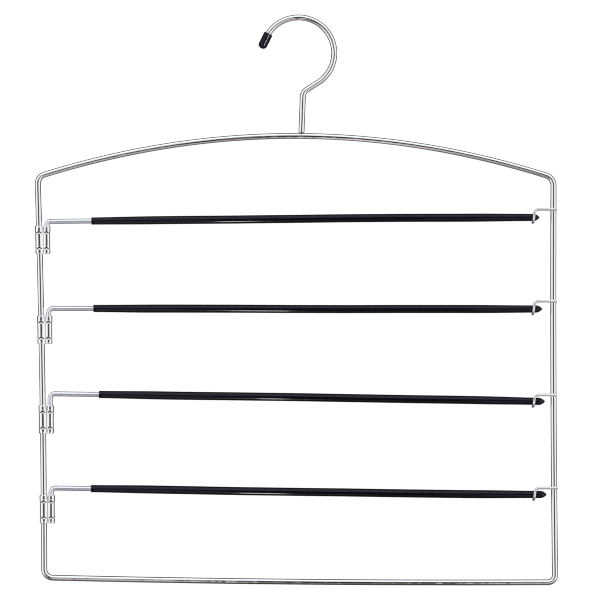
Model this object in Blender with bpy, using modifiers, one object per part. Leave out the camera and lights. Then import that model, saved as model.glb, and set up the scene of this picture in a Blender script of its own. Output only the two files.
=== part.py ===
"""Multi tier trouser hanger.

One wire is bent into a closed frame: a shallow arch, two side rails and a foot rail.
A hook of the same wire is welded on the arch. Four L shaped arms in black sleeves swing
on sheet metal clips that are rolled round the left rail, and they close into four wire
catches welded across the front of the right rail. The arms open away from the viewer.

Metres, +Z up, +X to the right, -Y towards the viewer. The origin is the rod seat, the
highest point inside the hook, where a wardrobe rod carries the hanger.
"""

import math

import bmesh
import bpy
from mathutils import Vector

MM = 0.001
RIGHT = Vector((1, 0, 0))
UP = Vector((0, 0, 1))

# Wires
FRAME_WIRE_D = 4.6 * MM
HOOK_WIRE_D = 4.6 * MM
ARM_WIRE_D = 3.8 * MM
CATCH_WIRE_D = 2.0 * MM

# Clearances
WELD_GAP = 0.3 * MM
CAP_GAP = 0.3 * MM
SLEEVE_GAP = 0.3 * MM
SEAT_GAP = 0.3 * MM
CRIMP_GAP = 0.2 * MM

# Frame, measured on the wire's centre line
ROD_SEAT_TO_ARCH = 86.6 * MM
FRAME_WIDTH = 386.9 * MM
FRAME_SHIFT_LEFT = 2.25 * MM
ARCH_RISE = 31.0 * MM
SHOULDER_TILT = 0.8 * MM
SIDE_HEIGHT = 301.9 * MM
FOOT_TILT = 3.55 * MM
LEFT_FOOT_INSET = 4.95 * MM
RIGHT_FOOT_OUTSET = 1.2 * MM
LEFT_RAIL_BOW = 1.0 * MM
RIGHT_RAIL_BOW = 0.7 * MM
FOOT_RAIL_BOW = 1.4 * MM
LEFT_SHOULDER_BEND = 7.0 * MM
RIGHT_SHOULDER_BEND = 8.0 * MM
RIGHT_FOOT_BEND = 5.5 * MM
LEFT_FOOT_BEND = 6.5 * MM

# Hook
HOOK_RING_R = 26.0 * MM
HOOK_RING_GROWTH = 1.5 * MM
HOOK_RING_SHIFT = 0.3 * MM
HOOK_RING_START = math.radians(-58)
HOOK_RING_TOP = math.radians(90)
HOOK_RING_END = math.radians(142)
HOOK_NECK_LENGTH = 12.7 * MM
HOOK_NECK_BEND = 6.3 * MM
HOOK_STEM_LEAN = 1.15 * MM
HOOK_TIP_BEND = 11.0 * MM
HOOK_TIP_LEAN = math.radians(26.3)
WELD_NUGGET_D = 2.8 * MM
WELD_NUGGET_FILLET = 0.02 * MM

# Cap on the tip of the hook
CAP_LENGTH = 12.4 * MM
CAP_D = 6.8 * MM
CAP_END_WALL = 3.2 * MM
CAP_DOME = 3.1 * MM
CAP_LIP = 0.35 * MM

# Pivot clips, rolled from sheet
CLIP_SHEET = 0.5 * MM
CLIP_HEIGHT = 21.2 * MM
RAIL_BARREL_ROOM = 0.35 * MM
LEG_BARREL_ROOM = 0.4 * MM
WEB_BEND = 0.7 * MM
CRIMP_FROM_END = 4.7 * MM
CRIMP_HALF_LENGTH = 1.0 * MM
CRIMP_DEPTH = 0.35 * MM
CRIMP_SHARES = (-1.0, -0.5, 0.0, 0.5, 1.0)
CURL_LENGTH = 1.6 * MM
CURL_DEPTH = 0.45 * MM
CURL_SHARES = (0.0, 0.35, 1.0)
RAIL_SEAM_ANGLE = math.radians(40)
LEG_SEAM_ANGLE = math.radians(42)
CLIP_PLACE_SHARES = (0.157, 0.3798, 0.6026, 0.8255)

# Arms
ARM_TIP_ROOM = 8.0 * MM
ARM_TIP_ROOM_SHARES = (1.3, 1.02, 0.8, 0.7)
ARM_BARE_LENGTH = 33.6 * MM
ARM_BARE_SHARES = (1.0, 1.0, 1.09, 0.89)
ARM_RISE = 13.9 * MM
ARM_LIFT = 5.3 * MM
ARM_LIFT_SHARES = (0.0, 0.39, 1.0, 0.36)
ELBOW_BEND = 3.5 * MM
LEG_END_ROOM = 0.6 * MM
WIRE_CHAMFER = 0.35 * MM

# Sleeves
SLEEVE_D = 6.0 * MM
SLEEVE_END_D = 5.4 * MM
SLEEVE_SWELL_LENGTH = 50.0 * MM
SLEEVE_TIP_LENGTH = 4.3 * MM
SLEEVE_END_WALL = 5.0 * MM
SLEEVE_LIP = 0.35 * MM
SLEEVE_TIP_SHARES = ((0.0, 0.0), (0.34, 0.06), (0.68, 0.27), (0.9, 0.6), (1.0, 1.0))

# Catches
CATCH_PLACE_SHARES = (0.0786, 0.3064, 0.539, 0.7698)
CATCH_REACH = 14.2 * MM
CATCH_OVERHANG = 0.3 * MM
CATCH_DROP = 6.0 * MM
CATCH_DROP_SHARES = (1.0, 0.97, 0.815, 0.835)
CATCH_LEAN = 1.0 * MM
CATCH_BEND = 3.2 * MM
LIP_SWEEP = 0.5 * MM
LIP_REACH = 1.2 * MM

# Fineness
MERGE_DISTANCE = 0.01 * MM
CUT_OVERRUN = 3.0 * MM
ARCH_STEPS = 24
RAIL_STEPS = 8
BEND_STEPS = 5
RING_STEPS = 26
BARREL_STEPS = 12
WEB_STEPS = 4
SLEEVE_STEPS = 12
CAP_STEPS = 16
CUTTER_SIDES = 32
THICK_WIRE_RESOLUTION = 4
THIN_WIRE_RESOLUTION = 2
SMOOTH_ANGLE = math.radians(40)

# Places that several pieces share
RAIL_CRIMP_R = FRAME_WIRE_D / 2 + CRIMP_GAP
RAIL_BORE_R = FRAME_WIRE_D / 2 + RAIL_BARREL_ROOM
LEG_CRIMP_R = ARM_WIRE_D / 2 + CRIMP_GAP
LEG_BORE_R = ARM_WIRE_D / 2 + LEG_BARREL_ROOM
CLIP_PITCH = RAIL_BORE_R + LEG_BORE_R + CLIP_SHEET
TIERS = len(ARM_LIFT_SHARES)


def frame_corners():
    """Corner points of the frame's centre line: left and right shoulder, right and left foot."""
    shoulder_z = -(ROD_SEAT_TO_ARCH + ARCH_RISE)
    foot_z = shoulder_z - SIDE_HEIGHT
    left_x = -FRAME_SHIFT_LEFT - FRAME_WIDTH / 2
    right_x = -FRAME_SHIFT_LEFT + FRAME_WIDTH / 2
    return (
        Vector((left_x, 0, shoulder_z + SHOULDER_TILT / 2)),
        Vector((right_x, 0, shoulder_z - SHOULDER_TILT / 2)),
        Vector((right_x + RIGHT_FOOT_OUTSET, 0, foot_z - FOOT_TILT / 2)),
        Vector((left_x + LEFT_FOOT_INSET, 0, foot_z + FOOT_TILT / 2)),
    )


LEFT_SHOULDER, RIGHT_SHOULDER, RIGHT_FOOT, LEFT_FOOT = frame_corners()
SIDES = (
    (LEFT_SHOULDER, RIGHT_SHOULDER, UP * ARCH_RISE, RIGHT_SHOULDER_BEND, ARCH_STEPS),
    (RIGHT_SHOULDER, RIGHT_FOOT, RIGHT * -RIGHT_RAIL_BOW, RIGHT_FOOT_BEND, RAIL_STEPS),
    (RIGHT_FOOT, LEFT_FOOT, UP * -FOOT_RAIL_BOW, LEFT_FOOT_BEND, RAIL_STEPS),
    (LEFT_FOOT, LEFT_SHOULDER, RIGHT * LEFT_RAIL_BOW, LEFT_SHOULDER_BEND, RAIL_STEPS),
)


def bowed_point(start, end, bow, share):
    """Point of a bowed side: the chord plus a bow that is full in its middle."""
    return start.lerp(end, share) + bow * (4 * share * (1 - share))


def bowed_run(start, end, bow, share):
    """Direction of a bowed side, as long as the side is there per unit share."""
    return end - start + bow * (4 * (1 - 2 * share))


def rail_x(top, foot, bow, z):
    """X of a side rail's centre line at height z."""
    return bowed_point(top, foot, bow, (z - top.z) / (foot.z - top.z)).x


def left_rail_x(z):
    return rail_x(LEFT_SHOULDER, LEFT_FOOT, RIGHT * LEFT_RAIL_BOW, z)


def right_rail_x(z):
    return rail_x(RIGHT_SHOULDER, RIGHT_FOOT, RIGHT * -RIGHT_RAIL_BOW, z)


def arch_z(x):
    """Height of the arch's centre line at x."""
    share = (x - LEFT_SHOULDER.x) / (RIGHT_SHOULDER.x - LEFT_SHOULDER.x)
    return bowed_point(LEFT_SHOULDER, RIGHT_SHOULDER, UP * ARCH_RISE, share).z


def bend(start, start_run, end, end_run, radius):
    """Points of a smooth bend of the given radius between two straight or bowed runs."""
    turn = start_run.angle(end_run)
    handle = radius * 4 / 3 * math.tan(turn / 4)
    first = start + start_run.normalized() * handle
    last = end - end_run.normalized() * handle
    points = []
    for step in range(BEND_STEPS + 1):
        t = step / BEND_STEPS
        u = 1 - t
        points.append(start * u**3 + first * (3 * u * u * t) + last * (3 * u * t * t) + end * t**3)
    return points


def bent_path(corners, radii):
    """Straight runs through the corners, with each inner corner bent to its radius."""
    points = [corners[0]]
    for before, corner, after, radius in zip(corners, corners[1:], corners[2:], radii):
        run_in = corner - before
        run_out = after - corner
        trim = radius * math.tan(run_in.angle(run_out) / 2)
        start = corner - run_in.normalized() * trim
        end = corner + run_out.normalized() * trim
        points += bend(start, run_in, end, run_out, radius)
    points.append(corners[-1])
    return points


def finish(name, colour, metallic, roughness):
    """Principled material of one sub-part."""
    material = bpy.data.materials.new(name)
    material.use_nodes = True
    shader = material.node_tree.nodes["Principled BSDF"]
    shader.inputs["Base Color"].default_value = (*colour, 1)
    shader.inputs["Metallic"].default_value = metallic
    shader.inputs["Roughness"].default_value = roughness
    return material


def chrome(name):
    return finish(name, (0.82, 0.82, 0.84), 1.0, 0.08)


def satin_steel(name):
    return finish(name, (0.66, 0.65, 0.7), 1.0, 0.28)


def black_vinyl(name):
    return finish(name, (0.012, 0.011, 0.016), 0.0, 0.25)


def new_collection(name):
    collection = bpy.data.collections.new(name)
    bpy.context.scene.collection.children.link(collection)
    return collection


def place(obj, collection, parent, location, material=None):
    """Put an object in its collection, under its parent, with its own material."""
    collection.objects.link(obj)
    obj.parent = parent
    obj.location = location
    if material:
        obj.data.materials.append(material)
    return obj


def pivot(name, collection, parent, location):
    """Empty that carries pieces, on a joint axis where the pieces turn."""
    empty = bpy.data.objects.new(name, None)
    empty.empty_display_size = CLIP_HEIGHT
    return place(empty, collection, parent, location)


def wire(name, points, wire_d, resolution, closed=False, shares=None):
    """Round wire along a path, closed into a loop or capped; shares thin it point by point."""
    curve = bpy.data.curves.new(name, "CURVE")
    curve.dimensions = "3D"
    curve.bevel_depth = wire_d / 2
    curve.bevel_resolution = resolution
    curve.use_fill_caps = not closed
    spline = curve.splines.new("POLY")
    spline.points.add(len(points) - 1)
    for number, point in enumerate(points):
        spline.points[number].co = (*point, 1)
        spline.points[number].radius = shares[number] if shares else 1
    spline.use_cyclic_u = closed
    return bpy.data.objects.new(name, curve)


def chamfered(points, wire_d):
    """Path and radius shares of a wire whose two ends are lightly chamfered."""
    thin = 1 - 2 * WIRE_CHAMFER / wire_d
    run_in = (points[1] - points[0]).normalized() * WIRE_CHAMFER
    run_out = (points[-1] - points[-2]).normalized() * WIRE_CHAMFER
    path = [points[0], points[0] + run_in, *points[1:-1], points[-1] - run_out, points[-1]]
    shares = [thin, *([1] * (len(path) - 2)), thin]
    return path, shares


def turned(name, profile, steps):
    """Turned piece: a profile of (radius, height) points, top to bottom on its outer side."""
    mesh = bpy.data.meshes.new(name)
    edges = [(number, number + 1) for number in range(len(profile) - 1)]
    mesh.from_pydata([(radius, 0, height) for radius, height in profile], edges, [])
    obj = bpy.data.objects.new(name, mesh)
    screw = obj.modifiers.new("turn", "SCREW")
    screw.axis = "Z"
    screw.angle = math.tau
    screw.steps = steps
    screw.render_steps = steps
    screw.use_merge_vertices = True
    screw.merge_threshold = MERGE_DISTANCE
    screw.use_smooth_shade = True
    return obj


def solid_from_curve(obj):
    """Welded mesh object with the name, place and material of a curve object, which goes."""
    graph = bpy.context.evaluated_depsgraph_get()
    mesh = bpy.data.meshes.new_from_object(obj.evaluated_get(graph))
    shape = bmesh.new()
    shape.from_mesh(mesh)
    bmesh.ops.remove_doubles(shape, verts=shape.verts, dist=MERGE_DISTANCE)
    shape.to_mesh(mesh)
    shape.free()
    name = obj.name
    collection = obj.users_collection[0]
    matrix = obj.matrix_world.copy()
    bpy.data.objects.remove(obj)
    solid = bpy.data.objects.new(name, mesh)
    collection.objects.link(solid)
    solid.matrix_world = matrix
    return solid


def make_frame(collection, hanger):
    """Closed wire loop: four bowed sides and four bent corners."""
    points = []
    for number, (start, end, bow, radius, steps) in enumerate(SIDES):
        radius_before = SIDES[number - 1][3]
        before_start, before_end, before_bow = SIDES[number - 1][:3]
        after_start, after_end, after_bow, _, _ = SIDES[(number + 1) % len(SIDES)]
        run_before = bowed_run(before_start, before_end, before_bow, 1)
        run_start = bowed_run(start, end, bow, 0)
        run_end = bowed_run(start, end, bow, 1)
        run_after = bowed_run(after_start, after_end, after_bow, 0)
        first = radius_before * math.tan(run_before.angle(run_start) / 2) / run_start.length
        trim = radius * math.tan(run_end.angle(run_after) / 2)
        last = 1 - trim / run_end.length
        for step in range(1, steps):
            share = first + (last - first) * step / steps
            points.append(bowed_point(start, end, bow, share))
        after = trim / run_after.length
        points += bend(
            bowed_point(start, end, bow, last),
            bowed_run(start, end, bow, last),
            bowed_point(after_start, after_end, after_bow, after),
            bowed_run(after_start, after_end, after_bow, after),
            radius,
        )
    frame = wire("frame_wire", points, FRAME_WIRE_D, THICK_WIRE_RESOLUTION, closed=True)
    place(frame, collection, hanger, (0, 0, 0), chrome("frame_chrome"))


def ring_radius(angle):
    """Radius of the hook's ring, which opens steadily from its neck to its tip."""
    share = (angle - HOOK_RING_START) / (HOOK_RING_END - HOOK_RING_START)
    return HOOK_RING_R + HOOK_RING_GROWTH * share


def ring_point(angle):
    """Point of the hook's ring, hung so that its inside touches the origin."""
    centre_z = HOOK_WIRE_D / 2 - ring_radius(HOOK_RING_TOP)
    radius = ring_radius(angle)
    x = HOOK_RING_SHIFT + radius * math.cos(angle)
    return Vector((x, 0, centre_z + radius * math.sin(angle)))


def hook_tip():
    """Place and direction of the straight tip, where the cap's mouth lies, and its bend."""
    end = ring_point(HOOK_RING_END)
    run_in = Vector((-math.sin(HOOK_RING_END), 0, math.cos(HOOK_RING_END)))
    run_out = Vector((-math.sin(HOOK_TIP_LEAN), 0, -math.cos(HOOK_TIP_LEAN)))
    trim = HOOK_TIP_BEND * math.tan(run_in.angle(run_out) / 2)
    corner = end + run_in * trim
    mouth = corner + run_out * trim
    return corner, mouth, run_out


def make_hook(collection, cutters, hanger):
    """Stem, neck, ring and straight tip in one wire; the foot is saddled over the arch."""
    ring = []
    for step in range(RING_STEPS + 1):
        angle = HOOK_RING_START + (HOOK_RING_END - HOOK_RING_START) * step / RING_STEPS
        ring.append(ring_point(angle))
    neck_run = Vector((math.sin(-HOOK_RING_START), 0, math.cos(HOOK_RING_START)))
    neck = ring[0] - neck_run * HOOK_NECK_LENGTH
    foot_x = neck.x - HOOK_STEM_LEAN
    crest = FRAME_WIRE_D / 2 + WELD_GAP
    foot = Vector((foot_x, 0, arch_z(foot_x) + crest))
    stem = bent_path([foot, neck, ring[0]], [HOOK_NECK_BEND])
    corner, mouth, tip_run = hook_tip()
    tip = mouth + tip_run * (CAP_LENGTH - CAP_END_WALL - CAP_GAP)
    tip_bend = bent_path([ring[-1], corner, tip], [HOOK_TIP_BEND])
    points = stem + ring[1:-1] + tip_bend
    nugget = [foot - UP * crest, foot]
    shares = [WELD_NUGGET_D / HOOK_WIRE_D] * 2 + [1] * len(points)
    points[0] = foot + UP * WELD_NUGGET_FILLET
    hook = wire("hook_wire", nugget + points, HOOK_WIRE_D, THICK_WIRE_RESOLUTION, shares=shares)
    place(hook, collection, None, (0, 0, 0))
    hook = solid_from_curve(hook)
    hook.parent = hanger
    hook.data.materials.clear()
    hook.data.materials.append(chrome("hook_chrome"))
    length = HOOK_WIRE_D + 2 * CUT_OVERRUN
    bpy.ops.mesh.primitive_cylinder_add(vertices=CUTTER_SIDES, radius=crest, depth=length)
    cutter = bpy.context.active_object
    cutter.name = "arch_cutter"
    for holder in list(cutter.users_collection):
        holder.objects.unlink(cutter)
    slope = arch_z(foot_x + length) - arch_z(foot_x)
    cutter.rotation_euler = (0, math.pi / 2 - math.atan2(slope, length), 0)
    cutter.hide_render = True
    cutter.display_type = "WIRE"
    place(cutter, cutters, None, foot - UP * crest)
    saddle = hook.modifiers.new("saddle", "BOOLEAN")
    saddle.operation = "DIFFERENCE"
    saddle.solver = "EXACT"
    saddle.object = cutter


def make_cap(collection, hanger):
    """Soft cap: a blind tube with a domed end, pushed over the straight tip of the hook."""
    outer = CAP_D / 2
    bore = HOOK_WIRE_D / 2 + CAP_GAP
    profile = []
    for step in range(BEND_STEPS + 1):
        angle = math.pi / 2 * step / BEND_STEPS
        height = CAP_LENGTH - CAP_DOME + CAP_DOME * math.cos(angle)
        profile.append((outer * math.sin(angle), height))
    profile.append((outer, CAP_LIP))
    profile.append((outer - CAP_LIP, 0))
    profile.append((bore, 0))
    profile.append((bore, CAP_LENGTH - CAP_END_WALL))
    profile.append((0, CAP_LENGTH - CAP_END_WALL))
    cap = turned("hook_tip_cap", profile, CAP_STEPS)
    _, mouth, run = hook_tip()
    place(cap, collection, hanger, mouth, black_vinyl("cap_vinyl"))
    cap.rotation_euler = run.to_track_quat("Z", "Y").to_euler()


def clip_z(tier):
    """Height of a clip's middle."""
    return LEFT_SHOULDER.z - SIDE_HEIGHT * CLIP_PLACE_SHARES[tier]


def leg_x(tier):
    """X of the upright axis on which an arm turns."""
    return left_rail_x(clip_z(tier)) + CLIP_PITCH


def arm_z(tier):
    """Height of an arm's centre line at its leg."""
    return clip_z(tier) + ARM_RISE + ARM_LIFT * ARM_LIFT_SHARES[tier]


def catch_z(tier):
    """Height of a catch's level run."""
    return RIGHT_SHOULDER.z - SIDE_HEIGHT * CATCH_PLACE_SHARES[tier]


def catch_x(tier):
    """X at which a catch turns down in front of the arm."""
    return right_rail_x(catch_z(tier)) - CATCH_REACH


def arm_slope(tier):
    """Angle of an arm above the level, from its leg to its seat in the catch."""
    seat_z = catch_z(tier) - CATCH_DROP * CATCH_DROP_SHARES[tier]
    return math.atan2(seat_z - arm_z(tier), catch_x(tier) - leg_x(tier))


def tip_room(tier):
    """Level distance from the tip of a closed arm's sleeve to the right rail's centre line."""
    return ARM_TIP_ROOM * ARM_TIP_ROOM_SHARES[tier]


def arm_reach(tier):
    """Length of an arm, from its leg to the tip of its sleeve."""
    tip_x = right_rail_x(catch_z(tier)) - tip_room(tier)
    return (tip_x - leg_x(tier)) / math.cos(arm_slope(tier))


def crimp_levels():
    """Heights of a clip's sections, from its lower end: close together in curls and crimps."""
    lower = [CURL_LENGTH * share for share in CURL_SHARES]
    lower += [CRIMP_FROM_END + CRIMP_HALF_LENGTH * share for share in CRIMP_SHARES]
    return lower + [CLIP_HEIGHT - level for level in reversed(lower)]


def pinch(level):
    """How far the curl of the nearer end and the nearer crimp are pressed in, each 0 to 1."""
    from_end = min(level, CLIP_HEIGHT - level)
    curl = max(0, 1 - from_end / CURL_LENGTH) ** 2
    off = min(1, abs(from_end - CRIMP_FROM_END) / CRIMP_HALF_LENGTH)
    crimp = math.cos(math.pi / 2 * off) ** 2
    return curl, crimp


def web_angles(pitch):
    """Angles off the line between the barrels at which the web leaves the rail and meets the leg.

    The web is bent the other way round a point in front, which makes a triangle with the
    middles of the two barrels.
    """
    rail_side = RAIL_BORE_R + CLIP_SHEET / 2 + WEB_BEND
    leg_side = LEG_BORE_R + CLIP_SHEET / 2 + WEB_BEND
    rail = math.acos((rail_side**2 + pitch**2 - leg_side**2) / (2 * rail_side * pitch))
    leg = math.acos((leg_side**2 + pitch**2 - rail_side**2) / (2 * leg_side * pitch))
    return rail, leg


def past(value, limit):
    """How far a value lies past its limit, as a share of the way from there to one."""
    return max(0, value - limit) / (1 - limit)


def barrel(centre_x, bore_r, crimp_r, facing, web_angle, start, end, level):
    """Bore side and outer side of one barrel's section, from angle start to angle end.

    facing is the direction of the other barrel. The curl grows away from the web, and the
    crimps are pressed in at the front and the back only.
    """
    curl, crimp = pinch(level)
    bore_side = []
    outer_side = []
    for step in range(BARREL_STEPS + 1):
        angle = start + (end - start) * step / BARREL_STEPS
        off = angle - facing
        curl_here = curl * past(abs(math.sin(off / 2)), math.sin(web_angle / 2))
        crimp_here = crimp * past(abs(math.sin(off)), math.sin(web_angle))
        inner = bore_r - (bore_r - crimp_r) * max(curl_here, crimp_here)
        outer = bore_r + CLIP_SHEET - CURL_DEPTH * curl_here - CRIMP_DEPTH * crimp_here
        direction = Vector((math.cos(angle), math.sin(angle), 0))
        bore_side.append(RIGHT * centre_x + direction * inner)
        outer_side.append(RIGHT * centre_x + direction * outer)
    return bore_side, outer_side


def web(centre_x, rail_web, leg_web):
    """Bore side and outer side of the dip between the barrels, without the ends it shares with them."""
    side = RAIL_BORE_R + CLIP_SHEET / 2 + WEB_BEND
    centre = RIGHT * centre_x + Vector((math.cos(rail_web), -math.sin(rail_web), 0)) * side
    bore_side = []
    outer_side = []
    for step in range(1, WEB_STEPS):
        angle = math.pi - rail_web + (leg_web + rail_web - math.pi) * step / WEB_STEPS
        direction = Vector((math.cos(angle), math.sin(angle), 0))
        bore_side.append(centre + direction * (WEB_BEND + CLIP_SHEET / 2))
        outer_side.append(centre + direction * (WEB_BEND - CLIP_SHEET / 2))
    return bore_side, outer_side


def clip_section(centre_x, level):
    """Two sides of the rolled sheet: round the rail from behind, over the dip, round the leg."""
    rail_web, leg_web = web_angles(-centre_x)
    start = RAIL_SEAM_ANGLE
    end = math.tau - rail_web
    rail = barrel(centre_x, RAIL_BORE_R, RAIL_CRIMP_R, 0, rail_web, start, end, level)
    start = math.pi + leg_web
    end = math.pi + math.tau - LEG_SEAM_ANGLE
    leg = barrel(0, LEG_BORE_R, LEG_CRIMP_R, math.pi, leg_web, start, end, level)
    dip = web(centre_x, rail_web, leg_web)
    return rail[0] + dip[0] + leg[0], rail[1] + dip[1] + leg[1]


def make_clip(collection, hanger, tier):
    """Double barrel clip: one sheet round both wires, open at the back, lofted up the leaning rail."""
    name = f"pivot_clip_{tier + 1}"
    shape = bmesh.new()
    rings = []
    for level in crimp_levels():
        z = level - CLIP_HEIGHT / 2
        first, second = clip_section(left_rail_x(clip_z(tier) + z) - leg_x(tier), level)
        rings.append([shape.verts.new(point + UP * z) for point in first + second[::-1]])
    count = len(rings[0])
    for lower, upper in zip(rings, rings[1:]):
        for number in range(count):
            after = (number + 1) % count
            shape.faces.new((lower[number], lower[after], upper[after], upper[number]))
    for ring in (rings[0], rings[-1]):
        for number in range(count // 2 - 1):
            opposite = count - 1 - number
            shape.faces.new((ring[number], ring[number + 1], ring[opposite - 1], ring[opposite]))
    bmesh.ops.recalc_face_normals(shape, faces=shape.faces)
    mesh = bpy.data.meshes.new(name)
    shape.to_mesh(mesh)
    shape.free()
    mesh.shade_smooth()
    mesh.set_sharp_from_angle(angle=SMOOTH_ANGLE)
    clip = bpy.data.objects.new(name, mesh)
    place(clip, collection, hanger, (leg_x(tier), 0, clip_z(tier)), chrome(f"clip_chrome_{tier + 1}"))


def sleeve_profile(length):
    """Outer side from the pointed tip to the mouth, then the bore up to its blind end."""
    end_r = SLEEVE_END_D / 2
    bore = ARM_WIRE_D / 2 + SLEEVE_GAP
    profile = []
    for radius_share, length_share in SLEEVE_TIP_SHARES:
        profile.append((end_r * radius_share, length - SLEEVE_TIP_LENGTH * length_share))
    profile.append((SLEEVE_D / 2, length - SLEEVE_SWELL_LENGTH))
    profile.append((SLEEVE_D / 2, SLEEVE_SWELL_LENGTH))
    profile.append((end_r, SLEEVE_LIP))
    profile.append((end_r - SLEEVE_LIP, 0))
    profile.append((bore, 0))
    profile.append((bore, length - SLEEVE_END_WALL))
    profile.append((0, length - SLEEVE_END_WALL))
    return profile


def sleeve_radius(from_tip):
    """Outer radius of a sleeve, past its pointed tip, at a distance from the tip."""
    over = max(0, from_tip - SLEEVE_TIP_LENGTH)
    share = min(1, over / (SLEEVE_SWELL_LENGTH - SLEEVE_TIP_LENGTH))
    return SLEEVE_END_D / 2 + (SLEEVE_D - SLEEVE_END_D) / 2 * share


def make_arm(collection, hanger, tier):
    """L shaped wire and its sleeve, both carried by an empty on the upright pivot axis."""
    number = tier + 1
    slope = arm_slope(tier)
    run = Vector((math.cos(slope), 0, math.sin(slope)))
    axis = pivot(f"arm_pivot_{number}", collection, hanger, (leg_x(tier), 0, arm_z(tier)))
    leg_length = ARM_RISE + CLIP_HEIGHT / 2 - LEG_END_ROOM
    reach = arm_reach(tier)
    wire_reach = reach - SLEEVE_END_WALL - SLEEVE_GAP
    corners = [-UP * leg_length, Vector((0, 0, 0)), run * wire_reach]
    path, shares = chamfered(bent_path(corners, [ELBOW_BEND]), ARM_WIRE_D)
    arm = wire(f"arm_wire_{number}", path, ARM_WIRE_D, THIN_WIRE_RESOLUTION, shares=shares)
    place(arm, collection, axis, (0, 0, 0), satin_steel(f"arm_steel_{number}"))
    bare = ARM_BARE_LENGTH * ARM_BARE_SHARES[tier]
    sleeve = turned(f"arm_sleeve_{number}", sleeve_profile(reach - bare), SLEEVE_STEPS)
    place(sleeve, collection, axis, run * bare, black_vinyl(f"sleeve_vinyl_{number}"))
    sleeve.rotation_euler = (0, math.pi / 2 - slope, 0)


def make_catch(collection, hanger, tier):
    """Thin wire across the front of the rail, down in front of the sleeve and back under it."""
    name = f"catch_{tier + 1}"
    run_z = catch_z(tier)
    rail = right_rail_x(run_z)
    wire_r = CATCH_WIRE_D / 2
    weld_y = -(FRAME_WIRE_D / 2 + WELD_GAP + wire_r)
    drop = CATCH_DROP * CATCH_DROP_SHARES[tier]
    from_tip = CATCH_REACH + CATCH_LEAN + LIP_SWEEP - tip_room(tier)
    seat = sleeve_radius(from_tip) + SEAT_GAP + wire_r
    corners = [
        Vector((FRAME_WIRE_D / 2 + CATCH_OVERHANG, weld_y, 0)),
        Vector((-CATCH_REACH, -seat, 0)),
        Vector((-CATCH_REACH - CATCH_LEAN, -seat, -drop - seat)),
        Vector((-CATCH_REACH - CATCH_LEAN - LIP_SWEEP, LIP_REACH, -drop - seat)),
    ]
    path, shares = chamfered(bent_path(corners, [CATCH_BEND, seat]), CATCH_WIRE_D)
    catch = wire(name, path, CATCH_WIRE_D, THIN_WIRE_RESOLUTION, shares=shares)
    place(catch, collection, hanger, (rail, 0, run_z), chrome(f"catch_chrome_{tier + 1}"))


def main():
    for obj in list(bpy.data.objects):
        bpy.data.objects.remove(obj)
    collection = new_collection("multi_tier_trouser_hanger")
    cutters = new_collection("cutters")
    hanger = pivot("hanger", collection, None, (0, 0, 0))
    make_frame(collection, hanger)
    make_hook(collection, cutters, hanger)
    make_cap(collection, hanger)
    for tier in range(TIERS):
        make_clip(collection, hanger, tier)
        make_arm(collection, hanger, tier)
        make_catch(collection, hanger, tier)


main()
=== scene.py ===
"""Dresses the multi tier trouser hanger and sets its studio.

Bent wires, rolled clips, soft sleeves and catches, in metres: +Z up, +X to the right, -Y towards
the viewer. The origin is the rod seat, the highest point inside the hook. Every piece is a surface
worked out on a grid of two parameters: one runs along the wire, sheet or tube, and the other runs
round it.
"""

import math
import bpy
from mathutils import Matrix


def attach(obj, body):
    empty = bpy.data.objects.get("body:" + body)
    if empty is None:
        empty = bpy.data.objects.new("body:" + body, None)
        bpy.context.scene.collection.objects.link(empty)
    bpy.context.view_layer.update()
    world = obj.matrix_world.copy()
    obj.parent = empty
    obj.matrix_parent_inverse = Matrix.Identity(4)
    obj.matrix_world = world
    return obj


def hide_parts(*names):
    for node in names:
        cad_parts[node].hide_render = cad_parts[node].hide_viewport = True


bl_info = {
    "name": "Multi Tier Trouser Hanger",
    "version": (1, 0, 0),
    "blender": (4, 5, 0),
    "location": "View3D > Sidebar > Trouser Hanger",
    "description": "Wires, clips, sleeves and catches of a trouser hanger, and its studio",
    "category": "Object",
}

import bmesh
import bpy
import numpy as np
from bpy.props import FloatProperty, FloatVectorProperty, IntProperty, PointerProperty
from mathutils import Vector

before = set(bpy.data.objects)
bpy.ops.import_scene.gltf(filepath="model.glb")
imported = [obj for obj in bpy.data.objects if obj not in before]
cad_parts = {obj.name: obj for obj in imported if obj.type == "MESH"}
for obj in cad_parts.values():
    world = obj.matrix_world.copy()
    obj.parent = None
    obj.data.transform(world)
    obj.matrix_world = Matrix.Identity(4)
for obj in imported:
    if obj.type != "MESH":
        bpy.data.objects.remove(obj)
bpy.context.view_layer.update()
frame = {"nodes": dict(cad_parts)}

MM = 0.001
MERGE_DISTANCE = 1e-7
RIGHT = np.array((1.0, 0.0, 0.0))
BACK = np.array((0.0, 1.0, 0.0))
UP = np.array((0.0, 0.0, 1.0))
ASLANT = np.array((1.0, 1.0, 1.0))
TIERS = 4

# Small roundings and overlaps
SHEET_RIM = 0.22 * MM
LEAST_SHEET = 0.12 * MM
STEM_RIM = 0.25 * MM
NUGGET_SINK = 0.4 * MM
BLIND_BEVEL = 0.1 * MM
BLIND_FLAT_SHARE = 0.97
WELD_HALF_DEPTH = 0.8 * MM
WELD_HEIGHT_SHARE = 0.82
WELD_SINK = 0.1 * MM

# Length along the hook's wire over which the weld's heat tint fades
HEAT_START = 4.2 * MM
HEAT_END = 4.9 * MM

# Dark card: how far right its dark middle lies, and how far from there its sides begin and end
CARD_MIDDLE = 30 * MM
CARD_FADE = (70 * MM, 160 * MM)

# Radius of the floor as a share of the backdrop's
FLOOR_SHARE = 0.999

# Shares and powers that form a curve
SHEET_RIM_SHARE = 0.25
PRESS_FADE_SHARE = 0.25
# Share of a crimp's slope, under its deepest line, still darkened by the painted crease shade
CREASE_SHADE_SHARE = 0.25
ARM_BOW_POWER = 1.5
SADDLE_POWER = 2.5

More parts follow.
